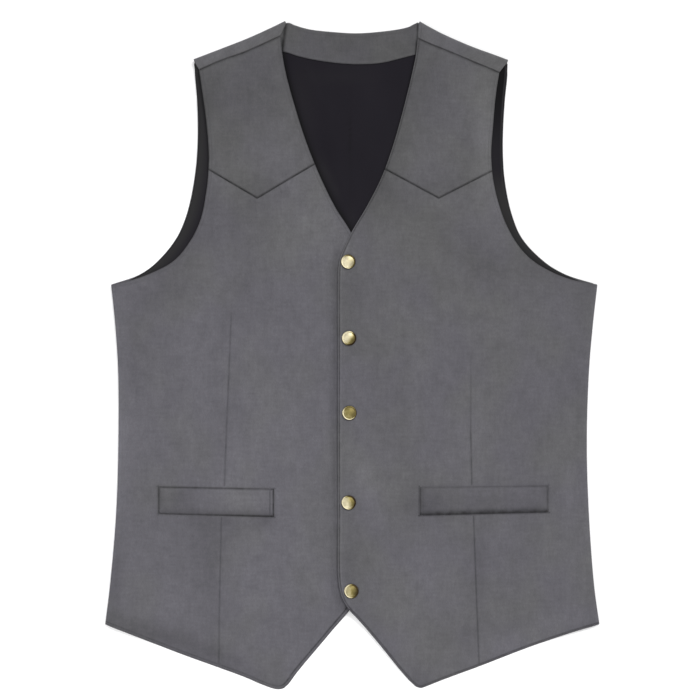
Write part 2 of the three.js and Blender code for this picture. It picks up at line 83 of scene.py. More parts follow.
# Lines of the pattern, as points from the armhole side to the middle
shoulderFold = {
    "right": [(-158.9, 296.3), (-136.1, 305), (-105.3, 317), (-78.7, 329), (-67.4, 334.6)],
    "left": [(155.9, 295.6), (141.5, 301), (119.6, 309), (91.9, 321), (76.5, 329), (67.6, 334.2)],
}
shoulderSeam = {
    "right": [(-153, 285.3), (-131.8, 294.4), (-107.8, 302.9), (-89.8, 310.9), (-71.8, 319.2)],
    "left": [(146.8, 282.6), (121.2, 293.3), (97.2, 303.3), (73.2, 313.2), (65.4, 316.9)],
}
backNeck = [
    (-65, 333.9), (-61.4, 332.1), (-54.8, 329.6), (-42.8, 326.4), (-18.8, 323.7),
    (5.2, 322.5), (29.2, 324.2), (53.2, 327.9), (62.4, 331.5), (65.4, 333.4),
]
backHem = [(-247.2, -269), (-124, -254), (0, -249), (124, -254), (247.2, -269)]
frontHem = {
    "right": [
        (-247.2, -269), (-174.8, -297.5), (-107.8, -321.9), (-90.8, -329.2), (-78, -333.6), (-72.4, -334),
        (-66.9, -332), (-54.4, -316.1), (-30.5, -287.7), (-11.8, -265.4), (-2.2, -253.9), (1.5, -249.6),
    ],
    "left": [
        (247.2, -269), (228, -274.4), (173.2, -293.3), (132, -309.3), (88, -325.6), (74, -331.2),
        (68.6, -332.8), (63.2, -331), (52, -319.8), (28.2, -290.4), (6.7, -265), (-1.8, -256),
    ],
}
yokeEdge = {
    "right": [(-146, 188.2), (-95, 158), (-34, 194.4)],
    "left": [(143, 186.9), (86.5, 158), (28, 189.6)],
}

# How the cloth lies: where it comes down, and its soft swells and hollows
lie = {
    "sideRoll": 8, "hemDrop": (2, 30), "neckRise": (225, 280), "overlapFade": (22, 62),
    "puff": 1.5, "puffFromSide": 70, "puffFromSnaps": (10, 70), "puffFromHem": (-240, -160),
    "puffToShoulder": (100, 220),
}
softFolds = [  # x, y, turn in degrees, length, width, rise
    (-175, -40, 80, 120, 26, 0.5), (-205, 20, 70, 70, 20, -0.4), (-60, 110, 55, 70, 24, 0.5),
    (-90, 40, 120, 60, 22, -0.4), (-75, -60, 85, 90, 30, 0.5), (60, 95, 125, 70, 24, 0.4),
    (165, 60, 100, 80, 26, -0.4), (195, -60, 95, 110, 24, 0.5), (75, -80, 80, 110, 28, 0.4),
    (60, -215, 60, 60, 26, 0.4),
]
fineFolds = [  # smaller ones, which lift the cloth a little more
    (-150, -10, 88, 110, 16, 0.9), (-114, 262, 118, 80, 34, 0.9), (-92, 205, 160, 70, 30, 0.7),
    (-96, 108, 128, 110, 24, 1.0), (-40, 122, 118, 60, 26, 0.7), (-205, 20, 78, 90, 22, 0.9),
    (-205, -232, 155, 90, 30, 0.9), (-128, -205, 98, 100, 18, 0.8), (-60, -60, 96, 110, 30, 0.8),
    (-42, -190, 84, 90, 18, 0.5), (92, 258, 84, 90, 22, 0.8), (118, 222, 96, 80, 16, 0.5),
    (52, 128, 150, 90, 26, 0.8), (146, 100, 142, 110, 26, 1.0), (214, -20, 94, 150, 22, 0.8),
    (60, -20, 82, 110, 20, 0.7), (112, -88, 92, 70, 26, 0.7), (150, -215, 105, 90, 20, 0.8),
    (96, -238, 84, 90, 22, 0.7), (205, -200, 70, 80, 18, 0.6), (24, -150, 92, 90, 14, 0.5),
]
paintedShadingPatches = [  # x, y, turn, length, width and tone of patches painted lighter or darker: painted light and shade for the cloth's soft swells and hollows
    (-96, 270, 80, 70, 50, -0.13), (-142, 260, 84, 60, 24, -0.20), (-122, 214, 80, 50, 26, -0.08),
    (-90, 192, 0, 80, 50, 0.12), (-50, 236, 110, 70, 20, 0.06), (-108, 148, 60, 90, 40, -0.13),
    (-138, 162, 60, 40, 26, -0.08), (-65, 158, -30, 60, 22, -0.09), (-100, 98, 80, 90, 34, -0.10),
    (-160, 112, 50, 90, 34, -0.14), (-185, 62, 14, 70, 36, -0.12), (-70, 42, 0, 60, 30, -0.04),
    (-30, 128, 120, 70, 44, 0.11), (-55, 90, 100, 70, 40, 0.06), (-216, 9, 80, 90, 40, -0.10),
    (-155, -12, 90, 120, 34, 0.06), (-232, -75, 90, 170, 18, 0.17), (-234, -195, 90, 60, 16, -0.12),
    (-70, -60, 100, 130, 60, 0.09), (-112, -104, 60, 90, 50, 0.09), (-60, -190, 80, 90, 40, 0.06),
    (-26, -104, 90, 60, 20, 0.06), (-98, -140, 0, 70, 24, 0.09), (-176, -144, 0, 44, 26, -0.20),
    (-104, -146, 0, 40, 20, 0.07), (-150, -166, 0, 90, 20, -0.10), (-90, -166, 20, 34, 18, -0.14),
    (-144, -200, 90, 90, 30, -0.14), (-122, -176, 60, 50, 26, -0.10), (-94, -212, 90, 110, 40, 0.08),
    (-50, -240, 50, 50, 40, 0.05), (-172, -288, -21, 160, 22, -0.22), (-140, -296, -30, 50, 26, -0.07),
    (-200, -248, -20, 70, 30, 0.05), (-242, -240, 85, 80, 24, -0.17), (-222, -272, -20, 50, 20, -0.09),
    (80, 270, 78, 110, 44, -0.12), (44, 205, 66, 90, 30, -0.07), (42, 160, -30, 90, 36, -0.16),
    (95, 222, 90, 90, 24, 0.05), (134, 214, 94, 100, 28, 0.24), (92, 170, 0, 70, 20, -0.10),
    (148, 150, 60, 50, 20, 0.06), (24, 144, 150, 80, 40, -0.07), (109, 109, 160, 100, 50, -0.09),
    (140, 80, 145, 90, 40, -0.08), (186, 86, -20, 70, 30, -0.10), (231, -5, 90, 180, 22, -0.06),
    (2, 68, 90, 70, 28, -0.15), (30, 66, 0, 40, 24, -0.05), (-3, 10, 90, 60, 20, -0.08),
    (24, -20, 90, 70, 36, -0.08), (86, 74, 0, 50, 30, -0.07), (140, -20, 60, 60, 40, -0.05),
    (122, -80, 60, 80, 40, 0.07), (182, -84, 90, 60, 34, -0.06), (13, -128, 100, 70, 26, 0.15),
    (56, -150, 80, 70, 26, -0.09), (52, -50, 90, 90, 30, -0.06), (-4, -195, 90, 110, 14, -0.13),
    (10, -215, 90, 90, 30, -0.10), (131, -146, 0, 130, 28, -0.09), (80, -147, 0, 46, 30, -0.16),
    (124, -226, 88, 90, 26, -0.12), (170, -210, 85, 80, 30, -0.08), (232, 58, 90, 40, 24, -0.10),
    (190, -230, 20, 90, 40, 0.04), (74, -220, 130, 60, 40, 0.10), (66, -322, 130, 30, 20, -0.10),
    (96, -290, 20, 50, 26, -0.08), (105, -262, 10, 80, 30, 0.06), (212, -150, 90, 110, 24, 0.07),
    (112, 304, -24, 70, 16, 0.07), (52, -258, 90, 50, 30, 0.06), (170, -284, 18, 90, 26, 0.13),
    (205, -262, 18, 50, 18, 0.08), (242, -245, 85, 60, 20, -0.10),
]


def smoothStep(low, high, value):
    share = np.clip((value - low) / (high - low), 0.0, 1.0)
    return share * share * (3 - 2 * share)


def bell(value, width):
    return np.exp(-((value / width) ** 2))


def mix(a, b, share):
    return a + (b - a) * share


def darkest(*layers):
    return np.maximum.reduce(np.broadcast_arrays(*layers))


def halfWidths(table, side):
    return np.stack([hand[side] * np.array(table[side], float), np.array(table["y"], float)], axis=1)


# One smooth stretch through its points, as a centripetal curve
def smoothStretch(points, steps=16):
    p = np.array(points, float)
    p = np.vstack([2 * p[0] - p[1], p, 2 * p[-1] - p[-2]])
    share = np.linspace(0, 1, steps, endpoint=False)[:, None]
    runs = []
    for a, b, c, d in zip(p[:-3], p[1:-2], p[2:-1], p[3:]):
        ab, bc, cd = (math.sqrt(np.linalg.norm(q - r)) for q, r in ((b, a), (c, b), (d, c)))
        start = ((b - a) / ab - (c - a) / (ab + bc) + (c - b) / bc) * bc
        end = ((c - b) / bc - (d - b) / (bc + cd) + (d - c) / cd) * bc
        runs.append(
            b + start * share
            + (3 * (c - b) - 2 * start - end) * share**2
            + (2 * (b - c) + start + end) * share**3
        )
    return np.vstack(runs + [p[-2:-1]])


# A line of smooth stretches: its points, and its place at any share of its length
def lineThrough(*stretches):
    points = np.vstack([smoothStretch(stretch) for stretch in stretches])
    reached = np.concatenate([[0], np.cumsum(np.linalg.norm(np.diff(points, axis=0), axis=1))])

    def at(share):
        target = np.clip(share, 0, 1) * reached[-1]
        return np.stack([np.interp(target, reached, points[:, k]) for k in (0, 1)], axis=-1)

    return {"at": at, "length": reached[-1]}


# A panel between four edges, across by u from first to last and up by v from hem to top
def panelBetween(hem, top, first, last):
    a, b, c, d = hem["at"](0), hem["at"](1), top["at"](0), top["at"](1)

    def at(u, v):
        u, v = np.broadcast_arrays(np.asarray(u, float), np.asarray(v, float))
        across, up = u[..., None], v[..., None]
        return (
            hem["at"](u) * (1 - up) + top["at"](u) * up
            + first["at"](v) * (1 - across) + last["at"](v) * across
            - a * (1 - across) * (1 - up) - b * across * (1 - up)
            - c * (1 - across) * up - d * across * up
        )

    return at


# Height of the underside of the fronts, which all that lies on them follows
def frontHeight(x, y):
    right, left = (np.interp(y, sideSeam["y"], sideSeam[side]) for side in ("right", "left"))
    inFromSide = np.where(x < 0, right, left) - np.abs(x)
    rolled = mix(sideFloor, frontFloor, smoothStep(0, lie["sideRoll"], inFromSide))
    neck = (neckFloor - frontFloor) * smoothStep(*lie["neckRise"], y)
    body = (
        smoothStep(0, lie["puffFromSide"], inFromSide)
        * smoothStep(*lie["puffFromSnaps"], np.abs(x))
        * smoothStep(*lie["puffFromHem"], y)
        * (1 - smoothStep(*lie["puffToShoulder"], y))
    )
    soft = lie["puff"] + foldsAt(softFolds, x, y)
    down = smoothStep(*lie["hemDrop"], np.interp(x, *zip(*backHem)) - y)
    fine = foldsAt(fineFolds, x, y) * smoothStep(2, 26, inFromSide)
    return (rolled + neck + soft * body + fine) * (1 - down)


def foldsAt(folds, x, y):
    total = np.zeros_like(x)
    for middleX, middleY, turn, long, wide, rise in folds:
        c, s = math.cos(math.radians(turn)), math.sin(math.radians(turn))
        along = ((x - middleX) * c + (y - middleY) * s) / (long / 2)
        across = ((y - middleY) * c - (x - middleX) * s) / (wide / 2)
        total = total + rise * np.exp(-(along**2) - across**2)
    return total


# The left front rides on the right one where they overlap
def frontLevel(side, x, y):
    lift = (wall["front"] + gap) * (1 - smoothStep(*lie["overlapFade"], x)) if side == "left" else 0
    return frontHeight(x, y) + lift


# All lines of one front, and its plan by shares across and up
def frontPattern(side):
    seam = halfWidths(sideSeam, side)
    shoulder = np.array(shoulderSeam[side], float)
    armhole = np.vstack([seam[-1:], halfWidths(frontArmhole, side), shoulder[:1]])
    hem = np.array(frontHem[side], float)
    middle = np.vstack([hem[-1:], halfWidths(frontEdge, side), shoulder[-1:]])
    lines = {
        "hem": lineThrough(hem),
        "top": lineThrough(shoulder),
        "first": lineThrough(seam, armhole),
        "last": lineThrough(middle),
        "side": lineThrough(seam),
        "armhole": lineThrough(armhole),
    }
    return lines, panelBetween(lines["hem"], lines["top"], lines["first"], lines["last"])


# Distance of each point of a plan from a line
def distanceTo(line, plan, spacing=0.3):
    count = int(line["length"] / spacing)
    points = line["at"](np.linspace(0, 1, count + 1))
    tree = KDTree(len(points))
    for k, (x, y) in enumerate(points):
        tree.insert((x, y, 0), k)
    tree.balance()
    found = [tree.find((x, y, 0))[2] for x, y in plan.reshape(-1, 2)]
    return np.reshape(found, plan.shape[:-1])


# How a turned edge rolls down over its last stretch, from 0 inside to drop at the edge
def edgeRoll(distance, reach, drop):
    share = np.clip(1 - distance / reach, 0, 1)
    return drop * (1 - np.sqrt(1 - np.minimum(share, 0.999) ** 2))


# Columns or rows at fine steps about each anchor and even ones between, as arrays that may vary
# along the other way
def layOut(anchors, fills):
    places = []
    for k, (at, offsets) in enumerate(anchors):
        here = [at + offset for offset in offsets]
        if k:
            start, end = places[-1], here[0]
            places += [mix(start, end, n / fills[k - 1]) for n in range(1, fills[k - 1])]
        places += here
    return np.stack(np.broadcast_arrays(*places))


def mirrored(steps):
    return [-step for step in steps[::-1]]


def addObject(name, data, place=(0, 0, 0)):
    added = bpy.data.objects.new(name, data)
    added.location = place
    bpy.context.scene.collection.objects.link(added)
    return added


def addMesh(name, points, faces, material):
    mesh = bpy.data.meshes.new(name)
    mesh.from_pydata((points * mm).tolist(), [], faces)
    mesh.update()
    mesh.materials.append(material)
    return addObject(name, mesh), mesh


# Smooth shading but for the corners that are sharper than an angle
def finishMesh(piece, degrees):
    bpy.ops.object.select_all(action="DESELECT")
    piece.select_set(True)
    bpy.context.view_layer.objects.active = piece
    bpy.ops.object.shade_smooth_by_angle(angle=math.radians(degrees))


# A wall of cloth from its upper and lower points on one lattice. cells says which cells it has, the shade
# argument how much painted shade darkens it in seams, grooves and beside edges, tone how much lighter or
# darker it is painted, partly painted light and shade, and tint how violet its grey is.
def clothPiece(name, upper, lower, plan, paintedShade, material, turned=False, cells=None, tone=0.0, tint=0.3):
    wide, high = upper.shape[:2]
    number = np.arange(wide * high).reshape(wide, high)
    if cells is None:
        cells = np.ones((wide - 1, high - 1), bool)
    a, b, c, d = number[:-1, :-1], number[1:, :-1], number[1:, 1:], number[:-1, 1:]
    under = wide * high
    quads = [np.stack([a, b, c, d], -1)[cells], np.stack([d, c, b, a], -1)[cells] + under]
    around = np.pad(cells, 1)
    for start, end, beside in (
        (a, b, around[1:-1, :-2]), (b, c, around[2:, 1:-1]),
        (c, d, around[1:-1, 2:]), (d, a, around[:-2, 1:-1]),
    ):
        free = cells & ~beside
        quads.append(np.stack([start, start + under, end + under, end], -1)[free])
    used, quads = np.unique(np.vstack(quads), return_inverse=True)
    quads = quads.reshape(-1, 4)
    if turned:
        quads = quads[:, ::-1]
    points = np.vstack([upper.reshape(-1, 3), lower.reshape(-1, 3)])[used]
    piece, mesh = addMesh(name, points, quads.tolist(), material)
    flat = np.vstack([plan.reshape(-1, 2)] * 2)[used] * mm
    corners = np.zeros(len(mesh.loops), np.int32)
    mesh.loops.foreach_get("vertex_index", corners)
    mesh.uv_layers.new(name="cloth").data.foreach_set("uv", flat[corners].ravel().astype(np.float32))
    # painted light and shade in patches, with the piece's own tone
    toneAndPaintedLight = foldsAt(paintedShadingPatches, plan[..., 0], plan[..., 1]) + tone
    for key, values, below in (("paintedShade", paintedShade, 0.5), ("toneAndPaintedLight", toneAndPaintedLight, 1), ("tint", tint, 1)):
        values = np.broadcast_to(values, (wide, high)).ravel()
        values = np.concatenate([values, values * below])[used].astype(np.float32)
        mesh.attributes.new(key, "FLOAT", "POINT").data.foreach_set("value", values)
    finishMesh(piece, 55)
    return piece


# The same from the heights of its upper and lower side
def laidPiece(name, top, low, plan, paintedShade, material, **settings):
    upper, lower = (np.dstack([plan, np.broadcast_to(height, plan.shape[:2])]) for height in (top, low))
    return clothPiece(name, upper, lower, plan, paintedShade, material, **settings)


def addPiece(piece, nodes=()):
    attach(piece, "root")
    if nodes:
        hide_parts(*nodes)


# Inputs of a node are numbers, colours or other sockets
def setInputs(tree, node, inputs):
    for key, value in inputs.items():
        if isinstance(value, bpy.types.NodeSocket):
            tree.links.new(value, node.inputs[key])
        else:
            node.inputs[key].default_value = value


def addNode(tree, kind, inputs, **settings):
    node = tree.nodes.new("ShaderNode" + kind)
    for key, value in settings.items():
        setattr(node, key, value)
    setInputs(tree, node, inputs)
    return node


def startMaterial(name):
    material = bpy.data.materials.new(name)
    material.use_nodes = True
    tree = material.node_tree
    tree.nodes.clear()
    output, shader = addNode(tree, "OutputMaterial", {}), addNode(tree, "BsdfPrincipled", {})
    tree.links.new(shader.outputs[0], output.inputs[0])
    return material, tree, shader


def multiply(tree, a, b):
    return addNode(tree, "Math", {0: a, 1: b}, operation="MULTIPLY").outputs[0]


def add(tree, a, b, clamped=False):
    return addNode(tree, "Math", {0: a, 1: b}, operation="ADD", use_clamp=clamped).outputs[0]


def rescale(tree, value, low, high, newLow, newHigh):
    inputs = {"Value": value, "From Min": low, "From Max": high, "To Min": newLow, "To Max": newHigh}
    return addNode(tree, "MapRange", inputs).outputs["Result"]


def mixColour(tree, a, b, share, clamped=True):
    inputs = {6: a, 7: b, 0: share}
    return addNode(tree, "Mix", inputs, data_type="RGBA", clamp_factor=clamped).outputs[2]


def attributeOf(tree, name):
    return addNode(tree, "Attribute", {}, attribute_name=name).outputs["Fac"]


def bumpOf(tree, height, strength, distance):
    return addNode(tree, "Bump", {"Height": height, "Strength": strength, "Distance": distance}).outputs[0]


def clothPlace(tree):
    return addNode(tree, "UVMap", {}, uv_map="cloth").outputs[0]


def objectPlace(tree):
    return addNode(tree, "TexCoord", {}).outputs["Object"]


def noiseOn(tree, place, scale, stretch=(1, 1, 1), detail=2.0, roughness=0.5):
    placed = addNode(tree, "Mapping", {"Vector": place, "Scale": stretch}).outputs[0]
    inputs = {"Vector": placed, "Scale": scale, "Detail": detail, "Roughness": roughness}
    return addNode(tree, "TexNoise", inputs).outputs["Fac"]


black = (0, 0, 0, 1)
flannel = {
    "plain": (0.0962, 0.0956, 0.0982, 1),
    "violet": (0.0952, 0.0925, 0.1052, 1),
    # noise scale, share of light and dark, then stretch, detail and roughness of the noise
    "fibre": (1100, 0.085, (1, 0.42, 1), 3, 0.6),  # streaks of fibre, under 1 mm apart
    "heather": (420, 0.042, (1, 0.55, 1)),
    "weft": (210, 0.044, (0.4, 1.6, 1)),  # thicker places of the threads, across and up
    "warp": (190, 0.044, (1.6, 0.4, 1)),
    "mottle": (90, 0.060, (1, 0.7, 1)),
    "cloud": (22, 0.045, (1, 0.8, 1)),
    "twillPitch": 0.0011,
    "twillTurn": math.radians(62),
    # how far the painted shade darkens the cloth at most
    "paintedShadeDark": 0.80,
}


def makeFlannel():
    material, tree, shader = startMaterial("grey flannel")
    cloth = clothPlace(tree)
    light = add(tree, attributeOf(tree, "toneAndPaintedLight"), 1)
    layers = {}
    for key in ("fibre", "heather", "weft", "warp", "mottle", "cloud"):
        scale, share, *noise = flannel[key]
        layers[key] = noiseOn(tree, cloth, scale, *noise)
        light = multiply(tree, light, rescale(tree, layers[key], 0.3, 0.7, 1 - share, 1 + share))
    patchy = rescale(tree, noiseOn(tree, cloth, 16, (1, 0.8, 1)), 0.38, 0.62, -0.35, 0.35)
    base = mixColour(tree, flannel["plain"], flannel["violet"], add(tree, attributeOf(tree, "tint"), patchy))
    # painted shade, a little uneven along its lines
    uneven = rescale(tree, noiseOn(tree, cloth, 95, roughness=0.6), 0.32, 0.68, 0.62, 1.12)
    paintedShade = multiply(tree, attributeOf(tree, "paintedShade"), uneven)
    light = multiply(tree, light, rescale(tree, paintedShade, 0, 1, 1, 1 - flannel["paintedShadeDark"]))
    turned = addNode(tree, "Mapping", {"Vector": cloth, "Rotation": (0, 0, flannel["twillTurn"])}).outputs[0]
    pitch = 20 * flannel["twillPitch"] / 6.28  # a wave of scale 1 is 6.28 / 20 wide
    wave = {"Vector": turned, "Scale": 1 / pitch, "Distortion": 1.6, "Detail": 2}
    twill = addNode(tree, "TexWave", wave).outputs["Fac"]
    pile = add(tree, multiply(tree, layers["fibre"], 0.7), multiply(tree, twill, 0.3))
    setInputs(tree, shader, {
        "Base Color": mixColour(tree, black, base, light, clamped=False),
        "Roughness": 0.94,
        "Specular IOR Level": 0.22,
        "Sheen Weight": 0.12,
        "Sheen Roughness": 0.55,
        "Normal": bumpOf(tree, pile, 0.28, 0.0004),
    })
    return material


satin = {
    "dark": (0.0050, 0.0040, 0.0072, 1),
    "light": (0.0098, 0.0083, 0.0124, 1),
    "sheenAndWear": (0.0215, 0.0212, 0.0215, 1),  # in the armholes, and in the painted sheen
    "roughness": (0.41, 0.54),
}


def makeSatin():
    material, tree, shader = startMaterial("black satin")
    cloth = clothPlace(tree)
    streak = noiseOn(tree, cloth, 130, (1, 0.12, 1))
    cloud = noiseOn(tree, cloth, 9, (1, 0.6, 1), 3, 0.55)
    light = add(tree, multiply(tree, cloud, 0.8), multiply(tree, streak, 0.2))
    colour = mixColour(tree, satin["dark"], satin["light"], rescale(tree, light, 0.3, 0.7, 0, 1))
    # the lighter armhole edges, and the painted sheen and highlights
    sheenAndWear = multiply(tree, attributeOf(tree, "toneAndPaintedLight"), rescale(tree, light, 0.3, 0.7, 0.75, 1))
    colour = mixColour(tree, colour, satin["sheenAndWear"], sheenAndWear)
    # painted shade: the lining is painted darker where the shade attribute lies
    colour = mixColour(tree, colour, black, multiply(tree, attributeOf(tree, "paintedShade"), 0.8))
    threads, ripple = noiseOn(tree, cloth, 1600, (0.25, 1, 1), 1), noiseOn(tree, cloth, 60, (1, 0.5, 1))
    height = add(tree, multiply(tree, threads, 0.3), multiply(tree, ripple, 0.7))
    setInputs(tree, shader, {
        "Base Color": colour,
        "Roughness": rescale(tree, streak, 0.3, 0.7, *satin["roughness"]),
        "Specular IOR Level": 0.09,
        "Normal": bumpOf(tree, height, 0.25, 0.0005),
    })
    return material


brass = {
    "bright": (0.80, 0.73, 0.52, 1),
    "olive": (0.27, 0.225, 0.085, 1),
    "dark": (0.040, 0.027, 0.014, 1),
    "roughness": (0.50, 0.62),
}


def makeBrass():
    material, tree, shader = startMaterial("antique brass")
    place = objectPlace(tree)
    spots = rescale(tree, noiseOn(tree, place, 420), 0.35, 0.65, -0.05, 0.05)
    # patina, and painted shade round and under the rim and on the side away from the lights
    age = add(tree, attributeOf(tree, "patinaAndShade"), spots, clamped=True)
    olive = mixColour(tree, brass["bright"], brass["olive"], rescale(tree, age, 0, 0.55, 0, 1))
    setInputs(tree, shader, {
        "Base Color": mixColour(tree, olive, brass["dark"], rescale(tree, age, 0.5, 1, 0, 1)),
        "Metallic": 1.0,
        "Roughness": rescale(tree, age, 0, 1, *brass["roughness"]),
        "Normal": bumpOf(tree, noiseOn(tree, place, 1500), 0.04, 0.0001),
    })
    return material


thread = {
    "colour": (0.070, 0.068, 0.074, 1),
    "long": 2.0,
    "pitch": 2.7,
    "thick": 0.34,
    "proud": 0.10,  # above the bottom of the groove
    "free": (3, 2.2),  # stretches without stitches beside the shoulder seam and the yoke's edge
}


def makeThread():
    material, tree, shader = startMaterial("grey thread")
    ply = rescale(tree, noiseOn(tree, objectPlace(tree), 2500, detail=1), 0.3, 0.7, 0.8, 1.2)
    setInputs(tree, shader, {
        "Base Color": mixColour(tree, black, thread["colour"], ply, clamped=False),
        "Roughness": 0.7,
        "Specular IOR Level": 0.3,
    })
    return material


flannelCloth = makeFlannel()
satinCloth = makeSatin()
brassMetal = makeBrass()
threadFibre = makeThread()
print("materials made")

# Camera straight over the vest, as in the picture, and soft light from a studio's boxes
shot = {
    "lens": 100,
    "sensor": 36,
    "view": 0.700,  # width of the picture at the height of the cloth
    "middle": (-0.0023, 0.0055, 0.0030),
}
boxes = [  # name, place, size, power, aimed at
    ("top_box", (-0.15, 0.15, 2.30), 1.6, 13.0, (0, 0, 0)),
    ("foot_box", (-0.30, -1.30, 1.10), 1.2, 9.6, (0, -0.2, 0)),
    ("left_box", (-1.50, 0.20, 0.90), 1.1, 6.6, (0, 0, 0)),
]
sun = {"towards": (0.40, 0.58, 0.58), "power": 2.3, "spread": 26}
worldLight = 0.33


def makeStudio():
    camera = bpy.data.cameras.new("camera")
    camera.lens = shot["lens"]
    camera.sensor_width = shot["sensor"]
    distance = shot["view"] * shot["lens"] / shot["sensor"]
    bpy.context.scene.camera = addObject("camera", camera, Vector(shot["middle"]) + Vector((0, 0, distance)))
    for name, place, size, power, aim in boxes:
        lamp = bpy.data.lights.new(name, "AREA")
        lamp.size = size
        lamp.energy = power
        away = Vector(place) - Vector(aim)
        addObject(name, lamp, place).rotation_euler = away.to_track_quat("Z", "Y").to_euler()
    far = bpy.data.lights.new("far_box", "SUN")
    far.energy = sun["power"]
    far.angle = math.radians(sun["spread"])
    addObject("far_box", far).rotation_euler = Vector(sun["towards"]).to_track_quat("Z", "Y").to_euler()
    world = bpy.data.worlds.new("studio")
    world.use_nodes = True
    sky = world.node_tree.nodes["Background"]
    setInputs(world.node_tree, sky, {"Color": (1, 1, 1, 1), "Strength": worldLight})
    bpy.context.scene.world = world
    bpy.context.scene.view_settings.view_transform = "Standard"

    bpy.ops.mesh.primitive_plane_add(size=8, location=(0, 0, -0.0002))
    floor = bpy.context.object
    floor.name = "studio_floor"
    material, tree, shader = startMaterial("pale floor")
    grain = rescale(tree, noiseOn(tree, objectPlace(tree), 3, detail=3), 0.3, 0.7, 0.985, 1.0)
    setInputs(tree, shader, {
        "Base Color": mixColour(tree, black, (0.93, 0.93, 0.935, 1), grain),
        "Roughness": 0.8,
        "Emission Color": (1, 1, 1, 1),
        "Emission Strength": 0.08,  # keeps faint shadows as pale as in the picture
    })
    floor.data.materials.append(material)


makeStudio()
print("studio set")


# The back, with the strips that turn over the shoulders
backSheet = {
    "foldRadius": (neckFloor + wall["back"]) / 2,
    "shoulderColumns": 22,
    "neckColumns": 30,
    "rows": (26, 46),  # below and above the underarm
    "foldRows": 12,
    "stripShares": [0.12, 0.25, 0.38, 0.5, 0.62, 0.72, 0.80, 0.86, 0.91, 0.95, 0.98, 1.0],
    "endColumns": [1.0, 1.6, 2.2, 2.8, 3.3, 3.8, 4.4, 5.2],
    "inset": {"side": 0, "hem": 0, "armhole": 0},
    "seamRoll": (0.85, 0.45),
    # painted shade along the shoulder seam, and a painted shadow line near each strip's neck end
    "seamDark": {"right": 0.35, "left": 0.0},
    "endRoll": (1.3, 0.6),
    "endLine": (3.3, 0.6),  # a painted shadow line: in from the neck end, and its width
    "endDark": {"right": 0.0, "left": 0.6},
}


def outOf(line, share, side):
    along = line["at"](np.clip(share + 0.01, 0, 1)) - line["at"](np.clip(share - 0.01, 0, 1))
    along = along / np.linalg.norm(along, axis=-1, keepdims=True)
    return np.stack([-along[..., 1], along[..., 0]], axis=-1) * -hand[side]


def backEdge(side, inset, shoulder):
    seam, armhole = halfWidths(sideSeam, side), halfWidths(backArmhole, side)
    seam[:, 0] -= hand[side] * inset["side"]
    seam[0, 1] += inset["hem"]
    armhole[:, 0] -= hand[side] * inset["armhole"]
    line = lineThrough(seam, np.vstack([seam[-1:], armhole, shoulder]))
    line["underarm"] = lineThrough(seam)["length"] / line["length"]
    return line


# Even shares up such an edge, below its underarm and above
def rowsUp(edge, below, above):
    underarm = edge["underarm"]
    return np.concatenate([np.linspace(0, underarm, below, endpoint=False), np.linspace(underarm, 1, above)])


